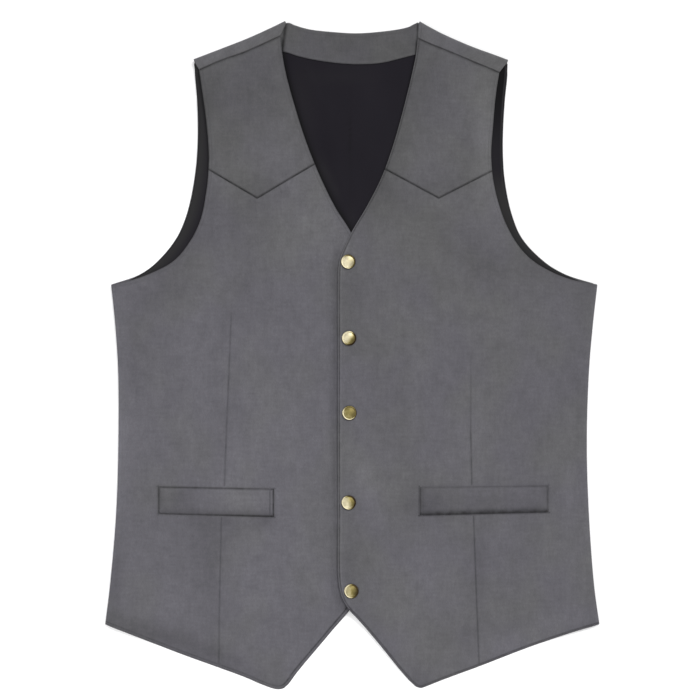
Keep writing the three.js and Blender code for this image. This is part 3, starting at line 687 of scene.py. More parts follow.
def makeBack():
    folds = {side: lineThrough(shoulderFold[side]) for side in hand}
    radius = backSheet["foldRadius"]

    def foldStart(side, share):
        return folds[side]["at"](share) - outOf(folds[side], share, side) * radius

    quarter = np.linspace(0, 1, 5)
    rightTop, leftTop = foldStart("right", quarter), foldStart("left", quarter)[::-1]
    neck = np.vstack([rightTop[-1:], backNeck, leftTop[:1]])
    top = lineThrough(rightTop, neck, leftTop)
    shoulder = lineThrough(rightTop)["length"] / top["length"]
    first = backEdge("right", backSheet["inset"], rightTop[:1])
    last = backEdge("left", backSheet["inset"], leftTop[-1:])
    panel = panelBetween(lineThrough(backHem), top, first, last)

    # the shoulder's columns are finer at its two ends
    shares = (1 - np.cos(np.linspace(0, math.pi, backSheet["shoulderColumns"] + 1))) / 2
    ends = np.array(backSheet["endColumns"]) / folds["left"]["length"]
    inner = shares[(shares > ends[-1] * 1.1) & (shares < 1 - ends[-1] * 1.1)]
    shares = np.concatenate([[0], ends, inner, 1 - ends[::-1], [1]])
    count = len(shares) - 1
    even = mix(shoulder, 1 - shoulder, np.linspace(0, 1, backSheet["neckColumns"] + 1)[1:-1])
    across = np.concatenate([shares * shoulder, even, 1 - shares[::-1] * shoulder])
    plan = panel(across[:, None], rowsUp(first, *backSheet["rows"])[None, :])
    plan[:, -1] = top["at"](across)
    columns, rows = plan.shape[:2]

    # rows past the top turn round the fold and run to the shoulder seam
    turns = [(k / backSheet["foldRows"], 0) for k in range(1, backSheet["foldRows"] + 1)]
    turns += [(1, share) for share in backSheet["stripShares"]]
    bent = np.zeros((2, columns, len(turns), 3))
    bentPlan, bentShade = np.zeros((columns, len(turns), 2)), np.zeros((columns, len(turns)))
    for side, picked in (("right", slice(0, count + 1)), ("left", slice(columns - count - 1, columns))):
        share = shares if side == "right" else shares[::-1]
        start, out = foldStart(side, share), outOf(folds[side], share, side)
        toSeam = lineThrough(shoulderSeam[side])["at"](share) + out * gap - start
        long, length = np.linalg.norm(toSeam, axis=-1), folds[side]["length"]
        endRoll = edgeRoll(np.minimum(share, 1 - share) * length, *backSheet["endRoll"])
        lineIn, wide = backSheet["endLine"]
        endLine = backSheet["endDark"][side] * bell((1 - share) * length - lineIn, wide)
        for k, (turned, reached) in enumerate(turns):
            angle = math.pi * (turned - 0.5)
            for layer, reach in enumerate((radius - wall["back"], radius)):
                bent[layer, picked, k, :2] = start + out * reach * math.cos(angle) + toSeam * reached
                bent[layer, picked, k, 2] = radius + reach * math.sin(angle)
            if reached:
                left = (1 - reached) * long
                bent[1, picked, k, 2] -= edgeRoll(left, *backSheet["seamRoll"]) + endRoll
                # painted shade along the shoulder seam and painted shadow near the neck end
                bentShade[picked, k] = darkest(backSheet["seamDark"][side] * bell(left, 0.9), endLine)
            bentPlan[picked, k] = start + out * (math.pi * radius * turned + reached * long)[:, None]
    layers = [
        np.concatenate([np.dstack([plan, np.full((columns, rows), height)]), strip], axis=1)
        for height, strip in zip((wall["back"], 0), bent)
    ]
    plan = np.concatenate([plan, bentPlan], axis=1)
    cells = np.ones((columns - 1, rows - 1 + len(turns)), bool)
    cells[count:columns - 1 - count, rows - 1:] = False
    # the inside of the cloth looks up from the body, so it comes first
    paintedShade = np.pad(bentShade, ((0, 0), (rows, 0)))
    return clothPiece("back_cloth", *layers, plan, paintedShade, flannelCloth, cells=cells)


back = makeBack()
addPiece(back, ["back"])
print("back laid")


liningSheet = {
    "inset": {"side": 10, "armhole": 0.5, "shoulder": 4.2, "hem": 14},
    "columns": 130,
    "edgeShares": [0.002, 0.004, 0.006, 0.008, 0.0095],  # finer columns
    "rows": (30, 90),
    "seam": (-2.6, 1.4, 0.12),  # x, half width and depth of the seam in the middle
    "seamStitches": (203, 207, 236, 240),  # heights between which it shows its stitches
    "edgeRoll": (1.4, 0.6),
    "piping": (2.6, 0.28),  # in from the armhole, and its height
    "armholeLight": (26, 18),  # how far in the lighter armhole edge fades
    "lights": [  # painted sheen: x, y, turn, length, width and how light a patch is
        (-29, 184, -60, 34, 12, 0.30), (-17, 164, -60, 20, 9, 0.18), (-50, 262, 100, 60, 22, 0.12),
        (-18, 279, 0, 70, 16, 0.12), (0, 138, 90, 24, 12, 0.14), (52, 262, 75, 50, 8, 0.08),
        (36, 246, 80, 50, 14, -0.08),
    ],
    "wrinkles": [  # x, y, turn, length, width, rise
        (-46, 286, 118, 60, 7, 0.55), (-38, 262, 128, 70, 9, 0.45), (-52, 272, 100, 40, 6, 0.40),
        (36, 280, 66, 60, 8, 0.40), (30, 236, 75, 80, 12, 0.40), (-22, 222, 96, 90, 12, 0.45),
        (14, 190, 84, 70, 9, 0.35), (-14, 176, 100, 50, 8, 0.35),
    ],
}


def makeLining():
    inset = liningSheet["inset"]
    hem = np.array(backHem, float) + (0, inset["hem"])
    neck, right, left = (
        np.array(points, float) - (0, inset["shoulder"])
        for points in (backNeck, shoulderFold["right"], shoulderFold["left"][::-1])
    )
    hem[0, 0] += inset["side"]
    hem[-1, 0] -= inset["side"]
    right[0, 0] += inset["armhole"]
    left[-1, 0] -= inset["armhole"]
    neck = np.vstack([right[-1:], neck, left[:1]])
    first, last = backEdge("right", inset, right[:1]), backEdge("left", inset, left[-1:])
    panel = panelBetween(lineThrough(hem), lineThrough(right, neck, left), first, last)
    even, fine = np.linspace(0, 1, liningSheet["columns"] + 1), np.array(liningSheet["edgeShares"])
    across = np.unique(np.concatenate([even, fine, 1 - fine]))
    plan = panel(across[:, None], rowsUp(first, *liningSheet["rows"])[None, :])
    x, y = plan[..., 0], plan[..., 1]
    edge = np.minimum(distanceTo(first, plan, 1), distanceTo(last, plan, 1))
    # wrinkles only where nothing lies on the lining
    neckEdge = np.interp(y, frontEdge["y"], np.minimum(frontEdge["right"], frontEdge["left"]))
    free = smoothStep(3, 16, neckEdge - np.abs(x)) * smoothStep(296, 284, y)
    seamX, seamWide, seamDeep = liningSheet["seam"]
    seam = bell(x - seamX, seamWide) * smoothStep(120, 150, y)
    pipingIn, pipingHigh = liningSheet["piping"]
    top = liningTop + free * foldsAt(liningSheet["wrinkles"], x, y) - seam * seamDeep
    top = top - edgeRoll(edge, *liningSheet["edgeRoll"]) + pipingHigh * bell(edge - pipingIn, 0.6)
    besideFront = distanceTo(frontPattern("right")[0]["last"], plan, 1)
    start, full, fading, end = liningSheet["seamStitches"]
    stitched = smoothStep(start, full, y) * smoothStep(end, fading, y) * (0.5 + 0.5 * np.sin(y * 1.2))
    # the right armhole is lightest outside, and the left one below; a painted highlight lies on the piping
    # ridge, painted sheen in patches, and a little painted shade right at the edge
    low, nearEdge = smoothStep(190, 155, y), smoothStep(*liningSheet["armholeLight"], edge)
    fade = np.where(x < 0, smoothStep(0, 18, 18 - edge), mix(0.12, 0.95, low))
    piping = np.where(x > 0, bell(edge - mix(1.5, pipingIn, low), 0.7), 0)
    sheenAndWear = np.clip(nearEdge * fade + mix(0.9, 0.5, low) * piping - 0.4 * bell(edge, 0.9), 0, 1)
    sheenAndWear = sheenAndWear + foldsAt(liningSheet["lights"], x, y)
    # painted shade in the middle seam where its stitches show, a painted shadow beside the fronts' edge, and
    # painted shade deep in the right armhole
    deep = np.where(x > 0, smoothStep(195, 270, y) * nearEdge * smoothStep(2.0, 3.2, edge), 0)
    paintedShade = darkest(seam * (0.1 + 0.45 * stitched), bell(besideFront, 3.5), 0.95 * deep)
    return laidPiece("back_lining_satin", top, liningFloor, plan, paintedShade, satinCloth, tone=sheenAndWear)


lining = makeLining()
addPiece(lining, ["back_lining"])
print("lining laid")


facingSheet = {
    "x": [-77, -65, -54.8, -42.8, -18.8, 5.2, 29.2, 53.2, 65, 73],
    "top": [325.5, 332.6, 328.8, 325.6, 322.9, 321.7, 323.4, 327.1, 332, 326.3],
    "bottom": [305, 302.8, 299.5, 296.6, 292.8, 291.2, 292.6, 298.3, 301.4, 304],
    "columns": 150,
    "rows": [0, 0.02, 0.04, 0.07, 0.10],
    "rowFills": [16],
    "lowRoll": (1.4, 0.6),
    "highRoll": (1.6, 0.7),
    # painted shadows along the ends of the shoulder strips and the fronts: ends, width, darkness
    "shades": [((-71.0, 300), (-66.2, 332), 1.9, 1.0), ((63.4, 300), (65.4, 332), 0.9, 0.8)],
    "tone": -0.25,
}


def makeFacing():
    share = np.linspace(0, 1, facingSheet["columns"] + 1)
    low, high = (
        lineThrough(list(zip(facingSheet["x"], facingSheet[key])))["at"](share) for key in ("bottom", "top")
    )
    rows = layOut([(0.0, facingSheet["rows"]), (1.0, mirrored(facingSheet["rows"]))], facingSheet["rowFills"])
    plan = mix(low[:, None, :], high[:, None, :], rows[None, :, None])
    x, y = plan[..., 0], plan[..., 1]
    tall = np.linalg.norm(high - low, axis=-1)[:, None]
    fromLow, fromHigh = rows[None, :] * tall, (1 - rows[None, :]) * tall
    rolled = edgeRoll(fromLow, *facingSheet["lowRoll"]) + edgeRoll(fromHigh, *facingSheet["highRoll"])
    # painted shade along a line below the top edge and along the lower edge, and painted shadows beside the
    # strips' and fronts' ends
    dark = [0.12 * bell(fromHigh - 3, 0.6) + 0.15 * bell(fromLow, 0.5)]
    for (lowX, lowY), (highX, highY), width, darkness in facingSheet["shades"]:
        lineX = lowX + (y - lowY) * (highX - lowX) / (highY - lowY)
        dark.append(darkness * bell(x - lineX, width))
    # painted highlight along the rolled lower edge
    tone = facingSheet["tone"] + 0.06 * bell(fromLow - 1.6, 1.0)
    top = facingFloor + wall["facing"] - rolled
    return laidPiece("neck_facing_cloth", top, facingFloor, plan, darkest(*dark), flannelCloth, tone=tone)


facing = makeFacing()
addPiece(facing, ["back_neck_facing"])
print("neck facing laid")


frontSheet = {
    "dartShare": 0.44,
    "dartFree": (20, 150),
    "dart": {  # top, and the painted shade in its fold below and above the height where it grows faint
        "right": (52, 0.42, 0.40, 0),
        "left": (5, 0.55, 0.22, -60),
    },
    "dartPinch": (0.6, 0.35),  # half width and depth of its line
    "dartPuff": (3.5, 2.5, 0.12),  # how far beside it the cloth swells, how wide and how high
    "groove": (0.6, 0.22),  # half width and depth of the sewn line along an edge
    "turnWide": 1.1,  # half width of the painted shade line on the turn
    "edges": {  # sewn line in from the edge, roll, painted shade line on the turn and painted shade line in the groove
        "right": {
            "hem": (3.0, (2.4, 1.0), 0.62, 0.66),
            "last": (3.0, (1.4, 0.75), 0.50, 0.15),
            "armhole": (3.0, (1.6, 0.85), 0.55, 0.14),
        },
        "left": {
            "hem": (2.1, (2.2, 1.0), 0.70, 0.88),
            "last": (1.5, (1.4, 0.6), 0.0, 0.80),
            "armhole": (3.0, (1.6, 0.85), 0.45, 0.0),
        },
    },
    "snapped": (124, 96),  # heights between which the fronts part above the first snap
    "placketPuff": (4.0, 0.5),  # reach and height of the left front's swell along its edge
    "placketLight": (2.9, 0.7, 0.14),  # painted highlight: how far in it is lighter, how wide and how light
    "sink": (3.0, 0.28),  # reach and depth of the right front's cloth beside the edge of the left one
    "under": (5.8, 0.50),  # the painted shadow of the left front's edge there: its reach and darkness
    "lowUnder": (3.0, 3.0, 0.34),  # and that painted shadow past the last snap: how far off, how wide and how dark
    "notch": (-6.3, -252.4, 2.0, 1.0),  # a painted shadow spot below the left front's lower corner
    "innerHem": (3.2, 0.8, 1.0),  # painted shade in the groove where the right front's hem is sewn beside the notch
    "neckShade": {"right": 0.0, "left": -0.10},
    "neckReach": 12,
    # painted shade along the shoulder seam: width and darkness
    "seamDark": (1.0, 0.9),
    "tint": {"right": (0.55, 0.95), "left": (0.35, 0.65)},  # above and below
    "seamRoll": (1.5, 0.8),
    "sideRoll": (2.0, 0.7),
    "sideEdge": [0, 0.6, 1.2, 1.8, 2.4, 3.0, 3.6, 4.4, 6, 8],
    "dartZone": [-5, -3, -1.8, -1.1, -0.5, 0, 0.5, 1.1, 1.8, 3, 5],
    "pointZone": [-6, -4, -2.5, -1.2, 0, 1.2, 2.5, 4, 6],
    "middleEdge": {
        "right": [-42, -37, -33, -30.5, -28.8, -27.5, -26.4, -25.5, -24.7, -24, -23, -21, -16, -10,
                  -6, -4.2, -3.6, -3.0, -2.4, -1.8, -1.2, -0.6, 0],
        "left": [-7.5, -6, -4.8, -4.2, -3.6, -3.0, -2.4, -1.8, -1.4, -1.0, -0.5, 0],
    },
    "hemEdge": [0, 0.6, 1.2, 1.8, 2.4, 3.0, 3.6, 4.2, 4.8, 5.4, 6, 6.7, 7.4, 8.2, 9, 9.8, 10.6, 11.4,
                12.2, 13, 14, 15.2, 16.8, 19],  # the rows run close together beside the notch
    "underarm": [-5, -3, -1.5, 0, 1, 2, 3, 4.5, 6.5],
    "topEdge": [-6, -4, -2.6, -1.6, -0.8, 0],
    "columnFills": [19, 9, 12],
    "rowFills": [58, 48],
}


# How wide a front's rows are at some shares up, and at which share across they have their dart
def frontRows(side, panel, rows):
    up, across = np.linspace(0, 1, 241), np.linspace(0, 1, 321)
    grid = panel(across[:, None], up[None, :])
    width = np.linalg.norm(np.diff(grid, axis=0), axis=-1).sum(0)
    y = panel(frontSheet["dartShare"], up)[:, 1]
    half = np.interp(y, dartLine["y"], dartLine[side])
    dart = np.array([np.interp(-half[k], -hand[side] * grid[:, k, 0], across) for k in range(len(up))])
    dart = mix(dart, frontSheet["dartShare"], smoothStep(*frontSheet["dartFree"], y))
    return np.interp(rows, up, width), np.interp(rows, up, dart)


# How far turned and sewn edges lower the cloth, and the painted shade on their turn and in their groove
def sewnEdges(side, away, keys, yokeRoll=None):
    halfWide, deep = frontSheet["groove"]
    lowered, lines = 0, []
    for key in keys:
        sewnIn, roll, turnDark, grooveDark = frontSheet["edges"][side][key]
        sewn = bell(away[key] - sewnIn, halfWide)
        lowered = lowered + edgeRoll(away[key], *(yokeRoll or roll)) + deep * sewn
        lines += [turnDark * bell(away[key], frontSheet["turnWide"]), grooveDark * sewn]
    return lowered, darkest(*lines)


def makeFront(side, name):
    cut = frontSheet
    lines, panel = frontPattern(side)
    underarm, long = lines["side"]["length"], lines["first"]["length"]
    rows = [(0.0, cut["hemEdge"]), (underarm, cut["underarm"]), (long, cut["topEdge"])]
    up = layOut(rows, cut["rowFills"]) / long
    hemShares = np.linspace(0, 1, 2001)
    point = hemShares[np.argmin(lines["hem"]["at"](hemShares)[:, 1])]
    width, dart = frontRows(side, panel, up)
    columns = [
        (0 * width, cut["sideEdge"]), (dart * width, cut["dartZone"]),
        (point * width, cut["pointZone"]), (width, cut["middleEdge"][side]),
    ]
    plan = panel(layOut(columns, cut["columnFills"]) / width, up[None, :])
    x, y = plan[..., 0], plan[..., 1]
    away = {key: distanceTo(lines[key], plan) for key in ("hem", "last", "armhole", "top", "side")}
    fromDart = x - hand[side] * np.interp(y, dartLine["y"], dartLine[side])
    dartTop, dartDark, dartFaint, faintFrom = cut["dart"][side]
    darted = smoothStep(dartTop, dartTop - 20, y)
    dartDark = mix(dartDark, dartFaint, smoothStep(faintFrom - 25, faintFrom + 5, y))
    low, snapped = frontLevel(side, x, y), smoothStep(*cut["snapped"], y)
    if side == "left":
        reach, rise = cut["placketPuff"]
        low = low + rise * bell(away["last"], reach) * smoothStep(120, 96, y)
    lowered, sewn = sewnEdges(side, away, cut["edges"][side])
    pinchWide, pinchDeep = cut["dartPinch"]
    beside, wide, rise = cut["dartPuff"]
    pinch = darted * (pinchDeep * bell(fromDart, pinchWide) - rise * bell(np.abs(fromDart) - beside, wide))
    rolled = edgeRoll(away["top"], *cut["seamRoll"]) + edgeRoll(away["side"], *cut["sideRoll"])
    top = low + wall["front"] - lowered - rolled - pinch
    # painted light a little lighter along the rolled side edge, and painted shade along the neck edge
    tone = 0.06 * bell(away["side"] - 1, 3)
    tone = tone + cut["neckShade"][side] * bell(away["last"], cut["neckReach"]) * smoothStep(96, 130, y)
    # painted shade in the sewn grooves and on the turned edges, along the shoulder seam and in the dart's
    # fold
    seamWide, seamDark = cut["seamDark"]
    dark = [sewn, seamDark * bell(away["top"], seamWide), dartDark * darted * bell(fromDart, 0.8)]
    if side == "right":
        over = distanceTo(frontPattern("left")[0]["last"], plan)
        reach, deep = cut["sink"]
        top = top - deep * snapped * bell(over, reach)
        # painted shadow of the left front's edge on the right front, past the last snap and in the notch, and
        # painted shade in the hem's sewn groove beside it
        reach, darkness = cut["under"]
        dark.append(darkness * snapped * bell(over, reach) * (1 - 0.97 * bell(over, 1.7)))
        off, wide, darkness = cut["lowUnder"]
        dark.append(darkness * bell(over - off, wide) * smoothStep(-212, -232, y))
        spotX, spotY, wide, darkness = cut["notch"]
        dark.append(darkness * bell(np.hypot(x - spotX, y - spotY), wide))
        sewnIn, wide, darkness = cut["innerHem"]
        dark.append(darkness * bell(away["hem"] - sewnIn, wide) * smoothStep(-80, -66, x))
    else:
        # painted highlight along the left front's rolled edge
        inset, wide, light = cut["placketLight"]
        tone = tone + light * snapped * bell(away["last"] - inset, wide)
    tint = mix(*cut["tint"][side], smoothStep(160, 0, y))
    turned = side == "left"
    return laidPiece(name, top, low, plan, darkest(*dark), flannelCloth, turned=turned, tone=tone, tint=tint)


for side, underneath in (("right", "back_lining_satin"), ("left", "front_right_cloth")):
    front = makeFront(side, f"front_{side}_cloth")
    addPiece(front, [f"front_{side}"])
    print("front laid:", side)


yokeSheet = {
    "tone": {"right": -0.12, "left": -0.06},
    "lip": (1.6, 0.40),  # the sewn ditch that shows below the turned edge, and how low it lies
    "ditch": (0.8, 0.85),  # where the painted shade in the ditch is darkest, below the edge, and how wide
    "wide": 100.0,  # about its width, which its columns are laid out for
    "columns": [0, 0.6, 1.2, 1.8, 2.4, 3.0, 3.6, 4.4, 6],
    "rows": [0, 0.35, 0.7, 1.05, 1.4, 1.7, 2.1, 2.7, 3.6, 5.0, 7.0],
    "pointZone": [-3, -1.8, -0.8, 0, 0.8, 1.8, 3],
    "topEdge": [-5, -3.4, -2.2, -1.4, -0.7, 0],
    "columnFills": [10, 12],
    "rowFills": [34],
    "edgeRoll": (1.3, 0.8),
    "sewnRoll": (1.3, 0.675),
    "puff": (2.2, 1.2, 0.15),  # how far in it swells, how wide and how high
    # painted shade along the shoulder seam: width and darkness
    "seamDark": (1.5, 0.92),
    "walls": (0.04, 0.10),  # least height of its lower and upper side over the front
}


# How far above the yoke's pointed edge a place lies
def aboveYokeEdge(side, x, y):
    return y - np.interp(x, *zip(*sorted(yokeEdge[side])))


def makeYoke(side, name):
    cut = yokeSheet
    lines, panel = frontPattern(side)
    (armX, armY), (pointX, pointY) = yokeEdge[side][:2]
    lip, lipLow = cut["lip"]
    down = lip / math.cos(math.atan2(armY - pointY, abs(armX - pointX)))

    # the share up at which each share across meets the lower end of the lip
    shares, ups = np.linspace(0, 1, 201), np.linspace(0.5, 1, 1001)
    grid = panel(shares[:, None], ups[None, :])
    met = np.argmax(aboveYokeEdge(side, grid[..., 0], grid[..., 1]) > -down, axis=1)
    startX = grid[np.arange(len(shares)), met, 0]
    point = np.interp(hand[side] * -pointX, -hand[side] * startX, shares)
    wide, steps = cut["wide"], cut["columns"]
    columns = [(0.0, steps), (point * wide, cut["pointZone"]), (wide, mirrored(steps))]
    across = layOut(columns, cut["columnFills"]) / wide
    start = np.interp(across, shares, ups[met])
    long = np.linalg.norm(panel(across, 1.0) - panel(across, start), axis=-1)
    rows = layOut([(0.0 * long, cut["rows"]), (long, cut["topEdge"])], cut["rowFills"]).T
    plan = panel(across[:, None], mix(start[:, None], 1.0, rows / long[:, None]))
    x, y = plan[..., 0], plan[..., 1]
    fromEdge = distanceTo(lineThrough(*zip(yokeEdge[side][:-1], yokeEdge[side][1:])), plan)
    onLip = aboveYokeEdge(side, x, y) < 0
    inside = np.where(onLip, 0, fromEdge)
    away = {key: distanceTo(lines[key], plan) for key in ("last", "armhole", "top")}
    low = frontLevel(side, x, y) + wall["front"]
    lowered, sewn = sewnEdges(side, away, ("last", "armhole"), cut["sewnRoll"])
    inset, wide, rise = cut["puff"]
    top = low + gap + wall["yoke"] + rise * bell(inside - inset, wide) - np.where(onLip, lipLow, 0)
    top = top - edgeRoll(inside, *cut["edgeRoll"]) - lowered - edgeRoll(away["top"], *frontSheet["seamRoll"])
    # painted shade in the ditch below the turned edge and just inside it, in the sewn edges and along the
    # shoulder seam
    ditchAt, ditchWide = cut["ditch"]
    ditch = np.where(onLip, 0.95 * bell(fromEdge - ditchAt, ditchWide), 0.35 * bell(inside, 0.5))
    seamWide, seamDark = cut["seamDark"]
    paintedShade = darkest(ditch, sewn, seamDark * bell(away["top"], seamWide))
    tone = cut["tone"][side] + frontSheet["neckShade"][side] * bell(away["last"], frontSheet["neckReach"])
    under, least = cut["walls"]
    top, low = np.maximum(top, low + least), low + under
    return laidPiece(name, top, low, plan, paintedShade, flannelCloth, turned=side == "left", tone=tone)


for side in hand:
    yoke = makeYoke(side, f"yoke_{side}_cloth")
    addPiece(yoke, [f"yoke_{side}"])
    print("yoke laid:", side)


# The welts' dark lines and soft darkness are painted shade along their edges, and painted shadow on the front
# just outside them
weltSheet = {
    "right": {
        "x": (-193.3, -78.6), "top": (-131.3, -133.5), "bottom": (-157.7, -160.8),
        "dark": {"bottom": (0.62, 0.92), "top": (0.85, 0.75), "start": 0.72, "end": 1.0},
        "soft": {"bottom": 0.40, "start": 0.28},
        "wide": {"bottom": 2.0, "top": 1.1, "start": 1.9, "end": 1.1},  # of the painted shade lines, inside
        "spread": {"bottom": 1.0, "top": 0.8, "start": 1.2, "end": 0.6},  # and outside, where they are painted shadow
        "inset": ("end", 3.6, 0.60),  # the end with a sewn line, how far in and how dark its painted shade is
        "tone": -0.02,
    },
    "left": {
        "x": (67.9, 195.4), "top": (-132.0, -130.3), "bottom": (-159.1, -156.0),
        "dark": {"bottom": (1.0, 1.0), "top": (0.22, 0.50), "start": 0.50, "end": 0.62},
        "soft": {"bottom": 0.50, "start": 0.34},
        "wide": {"bottom": 3.7, "top": 1.1, "start": 2.1, "end": 1.7},
        "spread": {"bottom": 1.3, "top": 0.8, "start": 1.9, "end": 0.7},
        "inset": ("start", 2.0, 0.20),
        "tone": -0.03,
    },
    "lip": (2.2, 0.12),  # how far the painted shadow of the seam runs out over the front, and its height there
    "steps": [0, 0.5, 1.0, 1.4, 1.8, 2.2, 2.6, 3.1, 3.6, 4.2, 4.9, 5.8, 6.8],
    "fills": (30, 10),
    "edgeRoll": (1.3, 0.8),
    "corner": 2.2,
    "puff": 0.45,
    "softWide": 4.2,
    "sewn": (0.6, 0.3),  # half width and depth of the sewn line
    "under": 0.04,
}


def makeWelt(side, name):
    cut = weltSheet[side]
    (lip, lipHigh), steps = weltSheet["lip"], weltSheet["steps"]
    wide = cut["x"][1] - cut["x"][0]
    across = layOut([(-lip, steps), (wide + lip, mirrored(steps))], weltSheet["fills"][:1])
    share = across / wide
    topY, bottomY = mix(*cut["top"], share), mix(*cut["bottom"], share)
    tall = topY - bottomY
    rows = layOut([(0 * tall - lip, steps), (tall + lip, mirrored(steps))], weltSheet["fills"][1:]).T
    x = np.broadcast_to(cut["x"][0] + across[:, None], rows.shape)
    y = bottomY[:, None] + rows
    off = {"bottom": y - bottomY[:, None], "top": topY[:, None] - y}  # how far inside each edge
    off.update({"start": x - cut["x"][0], "end": cut["x"][1] - x})
    nearX, nearY = np.minimum(off["start"], off["end"]), np.minimum(off["bottom"], off["top"])
    corner = weltSheet["corner"]
    rounded = corner - np.hypot(np.minimum(nearX - corner, 0), np.minimum(nearY - corner, 0))
    inside = np.where((nearX < corner) & (nearY < corner), rounded, np.minimum(nearX, nearY))
    puff = weltSheet["puff"] * np.sin(math.pi * np.clip(off["bottom"] / tall[:, None], 0, 1))
    low = frontLevel(side, x, y) + wall["front"]
    top = low + gap + wall["welt"] - edgeRoll(np.maximum(inside, 0), *weltSheet["edgeRoll"])
    top = np.where(inside < 0, low + lipHigh, top + puff * smoothStep(0, 9, inside))
    along = np.clip(share, 0, 1)[:, None]
    darkness = dict(cut["dark"])
    darkness["bottom"] = mix(*darkness["bottom"], smoothStep(0.3, 0.7, along))
    darkness["top"] = mix(*darkness["top"], along)
    outside = np.hypot(np.minimum(nearX, 0), np.minimum(nearY, 0))
    # painted shade along each edge, and painted shadow just outside it
    dark = []
    for key, distance in off.items():
        line = darkness[key] * bell(distance, np.where(distance > 0, cut["wide"][key], cut["spread"][key]))
        dark.append(line * bell(np.where(distance < 0, 0, outside), 0.8))
    for key, soft in cut["soft"].items():
        dark.append(np.where(inside > 0, soft * bell(off[key], weltSheet["softWide"]), 0))
    end, inset, sewnDark = cut["inset"]
    sewnWide, sewnDeep = weltSheet["sewn"]
    sewn = bell(off[end] - inset, sewnWide)
    top, low = top - sewnDeep * sewn, low + weltSheet["under"]
    paintedShade, plan = darkest(*dark, sewnDark * sewn), np.dstack([x, y])
    return laidPiece(name, top, low, plan, paintedShade, flannelCloth, tone=cut["tone"], tint=0.75)


for side in hand:
    welt = makeWelt(side, f"pocket_welt_{side}_cloth")
    addPiece(welt, [f"welt_{side}"])
    print("welt laid:", side)


# Stitches along the turned edges: one is modelled, and copies of it are joined into one mesh
def makeStitch():
    bpy.ops.object.select_all(action="DESELECT")
    bpy.ops.mesh.primitive_cylinder_add(
        vertices=6, radius=thread["thick"] / 2 * mm, depth=thread["long"] * mm, rotation=(0, math.pi / 2, 0)
    )
    stitch = bpy.context.object
    bpy.ops.object.transform_apply(location=True, rotation=True, scale=True)
    points = np.array([vertex.co for vertex in stitch.data.vertices]) / mm
    faces = [list(polygon.vertices) for polygon in stitch.data.polygons]
    points[:, 2] *= 0.8
    points[:, 2] -= 0.10 * (points[:, 0] / (thread["long"] / 2)) ** 2  # the ends sink into the cloth
    bpy.data.objects.remove(stitch)
    return points, faces


def sewAlong(name, places):
    base, faces = makeStitch()
    points, polygons = [], []
    for k, (x, y, z, ax, ay) in enumerate(places):
        across = (base[:, 0] * ax - base[:, 1] * ay, base[:, 0] * ay + base[:, 1] * ax, base[:, 2])
        points.append(np.stack(across, axis=1) + (x, y, z))
        polygons += [[corner + k * len(base) for corner in face] for face in faces]
    piece, _ = addMesh(name, np.vstack(points), polygons, threadFibre)
    finishMesh(piece, 40)
    return piece


# Places and directions of the stitches inside one edge, but for those at the yoke's edge and the seam
def stitchRun(side, lines, key):
    line, sewnIn = lines[key], frontSheet["edges"][side][key][0]
    count = int(line["length"] / thread["pitch"])
    share = (np.arange(count) + 0.5) / count
    step = 0.5 / line["length"]
    along = line["at"](share + step) - line["at"](share - step)
    along = along / np.linalg.norm(along, axis=-1, keepdims=True)
    inward = hand[side] if key == "armhole" else -hand[side]
    middle = line["at"](share) + np.stack([-along[:, 1], along[:, 0]], axis=-1) * inward * sewnIn
    x, y = middle[:, 0], middle[:, 1]
    above = aboveYokeEdge(side, x, y)
    seamFree, yokeFree = thread["free"]
    clear = (distanceTo(line, middle) > sewnIn - 0.25) & (distanceTo(lines["top"], middle) > seamFree)
    raised = np.where(above > 0, gap + wall["yoke"], 0) - frontSheet["groove"][1] + thread["proud"]
    height = frontLevel(side, x, y) + wall["front"] + raised
    return np.column_stack([x, y, height, along])[clear & (np.abs(above) > yokeFree)]


for side in hand:
    lines, _ = frontPattern(side)
    places = np.vstack([stitchRun(side, lines, key) for key in frontSheet["edges"][side]])
    addPiece(sewAlong(f"edge_stitching_{side}", places))
print("edges sewn")


# Snap caps: a disc is raised ring by ring into a rolled rim and a dome
snapCap = {
    "places": [(-4.1, 93.6), (-3.3, 17.2), (-2.9, -57.4), (-3.6, -146.9), (-0.9, -235.3)],
    "age": [0.03, 0.08, 0.52, 0.14, 0.38],  # patina of each dome
    "shaded": [0.30, 0.66, 0.16, 0.56, 0.46],  # and how dark the painted shade is on the side away from the lights
    "bright": [205, 150, 225, 200, 188],  # side of each cap that the painted shade leaves bright, in degrees
    "dark": -75,  # and where the painted shadow round the rim is darkest
    "sides": 40,
    "rings": [  # radius and height, from the underside up over the rolled rim to the dome
        (6.6, 0.0), (7.2, 0.2), (7.35, 0.55), (7.25, 0.9), (7.0, 1.2), (6.65, 1.42), (6.35, 1.48),
        (6.05, 1.38), (5.8, 1.36), (5.45, 1.5), (4.8, 1.8), (3.8, 2.2), (2.5, 2.55), (1.2, 2.75),
    ],
    "crown": 2.82,
    "radius": 7.35,
    "clear": (7.4, 0.12),  # the cloth is lower than the cap by this much, inside this radius
}


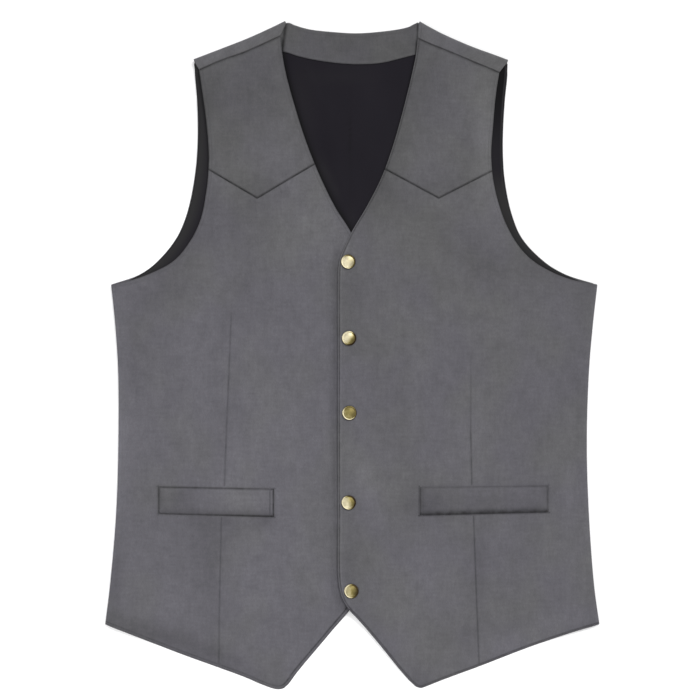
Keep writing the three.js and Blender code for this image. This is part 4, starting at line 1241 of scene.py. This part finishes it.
# Patina on the dome and in the groove, and painted shade: on the side away from the lights and on the rim
# there, round the rim's outer edge as a painted shadow darkest towards the lower right, and under the rim
def patinaAndShadeOf(points, number):
    def towards(degrees):
        turn = math.radians(degrees)
        return (points[:, 0] * math.cos(turn) + points[:, 1] * math.sin(turn)) / snapCap["radius"]

    radius = np.hypot(points[:, 0], points[:, 1])
    toBright, toDark = towards(snapCap["bright"][number - 1]), towards(snapCap["dark"])
    shade = snapCap["age"][number - 1] * smoothStep(6.1, 5.5, radius)
    shade = shade + snapCap["shaded"][number - 1] * smoothStep(0.45, -0.8, toBright)
    shade = shade + 0.40 * bell(radius - 5.95, 0.3) * smoothStep(0.9, 0.1, toBright)
    shade = shade + 0.45 * smoothStep(5.6, 6.1, radius) * smoothStep(0.35, -0.4, toBright)
    shade = shade + smoothStep(6.6, 6.9, radius) * (0.25 + 0.9 * smoothStep(-0.4, 0.4, toDark))
    return np.clip(np.where(points[:, 2] < 0.7, 1.0, shade), 0, 1)


def makeSnap(number, x, y):
    bpy.ops.object.select_all(action="DESELECT")
    rings = snapCap["rings"]
    bpy.ops.mesh.primitive_circle_add(vertices=snapCap["sides"], radius=rings[0][0] * mm, fill_type="NGON")
    snap = bpy.context.object
    snap.name = f"snap_cap_{number}"
    bpy.ops.object.mode_set(mode="EDIT")
    bpy.ops.mesh.select_all(action="SELECT")
    for before, ring in zip(rings[:-1], rings[1:]):
        bpy.ops.mesh.extrude_region_move(TRANSFORM_OT_translate={"value": (0, 0, (ring[1] - before[1]) * mm)})
        bpy.ops.transform.resize(value=(ring[0] / before[0], ring[0] / before[0], 1))
    bpy.ops.mesh.poke(offset=(snapCap["crown"] - rings[-1][1]) * mm)
    bpy.ops.mesh.select_all(action="SELECT")
    bpy.ops.mesh.normals_make_consistent(inside=False)
    bpy.ops.object.mode_set(mode="OBJECT")
    smooth = snap.modifiers.new("smooth", "SUBSURF")
    smooth.levels = smooth.render_levels = 1
    bpy.ops.object.modifier_apply(modifier="smooth")
    patinaAndShade = patinaAndShadeOf(np.array([vertex.co for vertex in snap.data.vertices]) / mm, number).astype(np.float32)
    snap.data.attributes.new("patinaAndShade", "FLOAT", "POINT").data.foreach_set("value", patinaAndShade)
    reach, clear = snapCap["clear"]
    turn = np.linspace(0, 2 * math.pi, 24, endpoint=False)
    around = frontLevel("left", x + reach * np.cos(turn), y + reach * np.sin(turn))
    snap.location = (x * mm, y * mm, (around.max() + wall["front"] + clear) * mm)
    bpy.ops.object.transform_apply(location=True, rotation=True, scale=True)
    snap.data.materials.append(brassMetal)
    finishMesh(snap, 60)
    addPiece(snap, [f"snap_{number}"])


for number, (x, y) in enumerate(snapCap["places"], start=1):
    makeSnap(number, x, y)
print("snaps set")
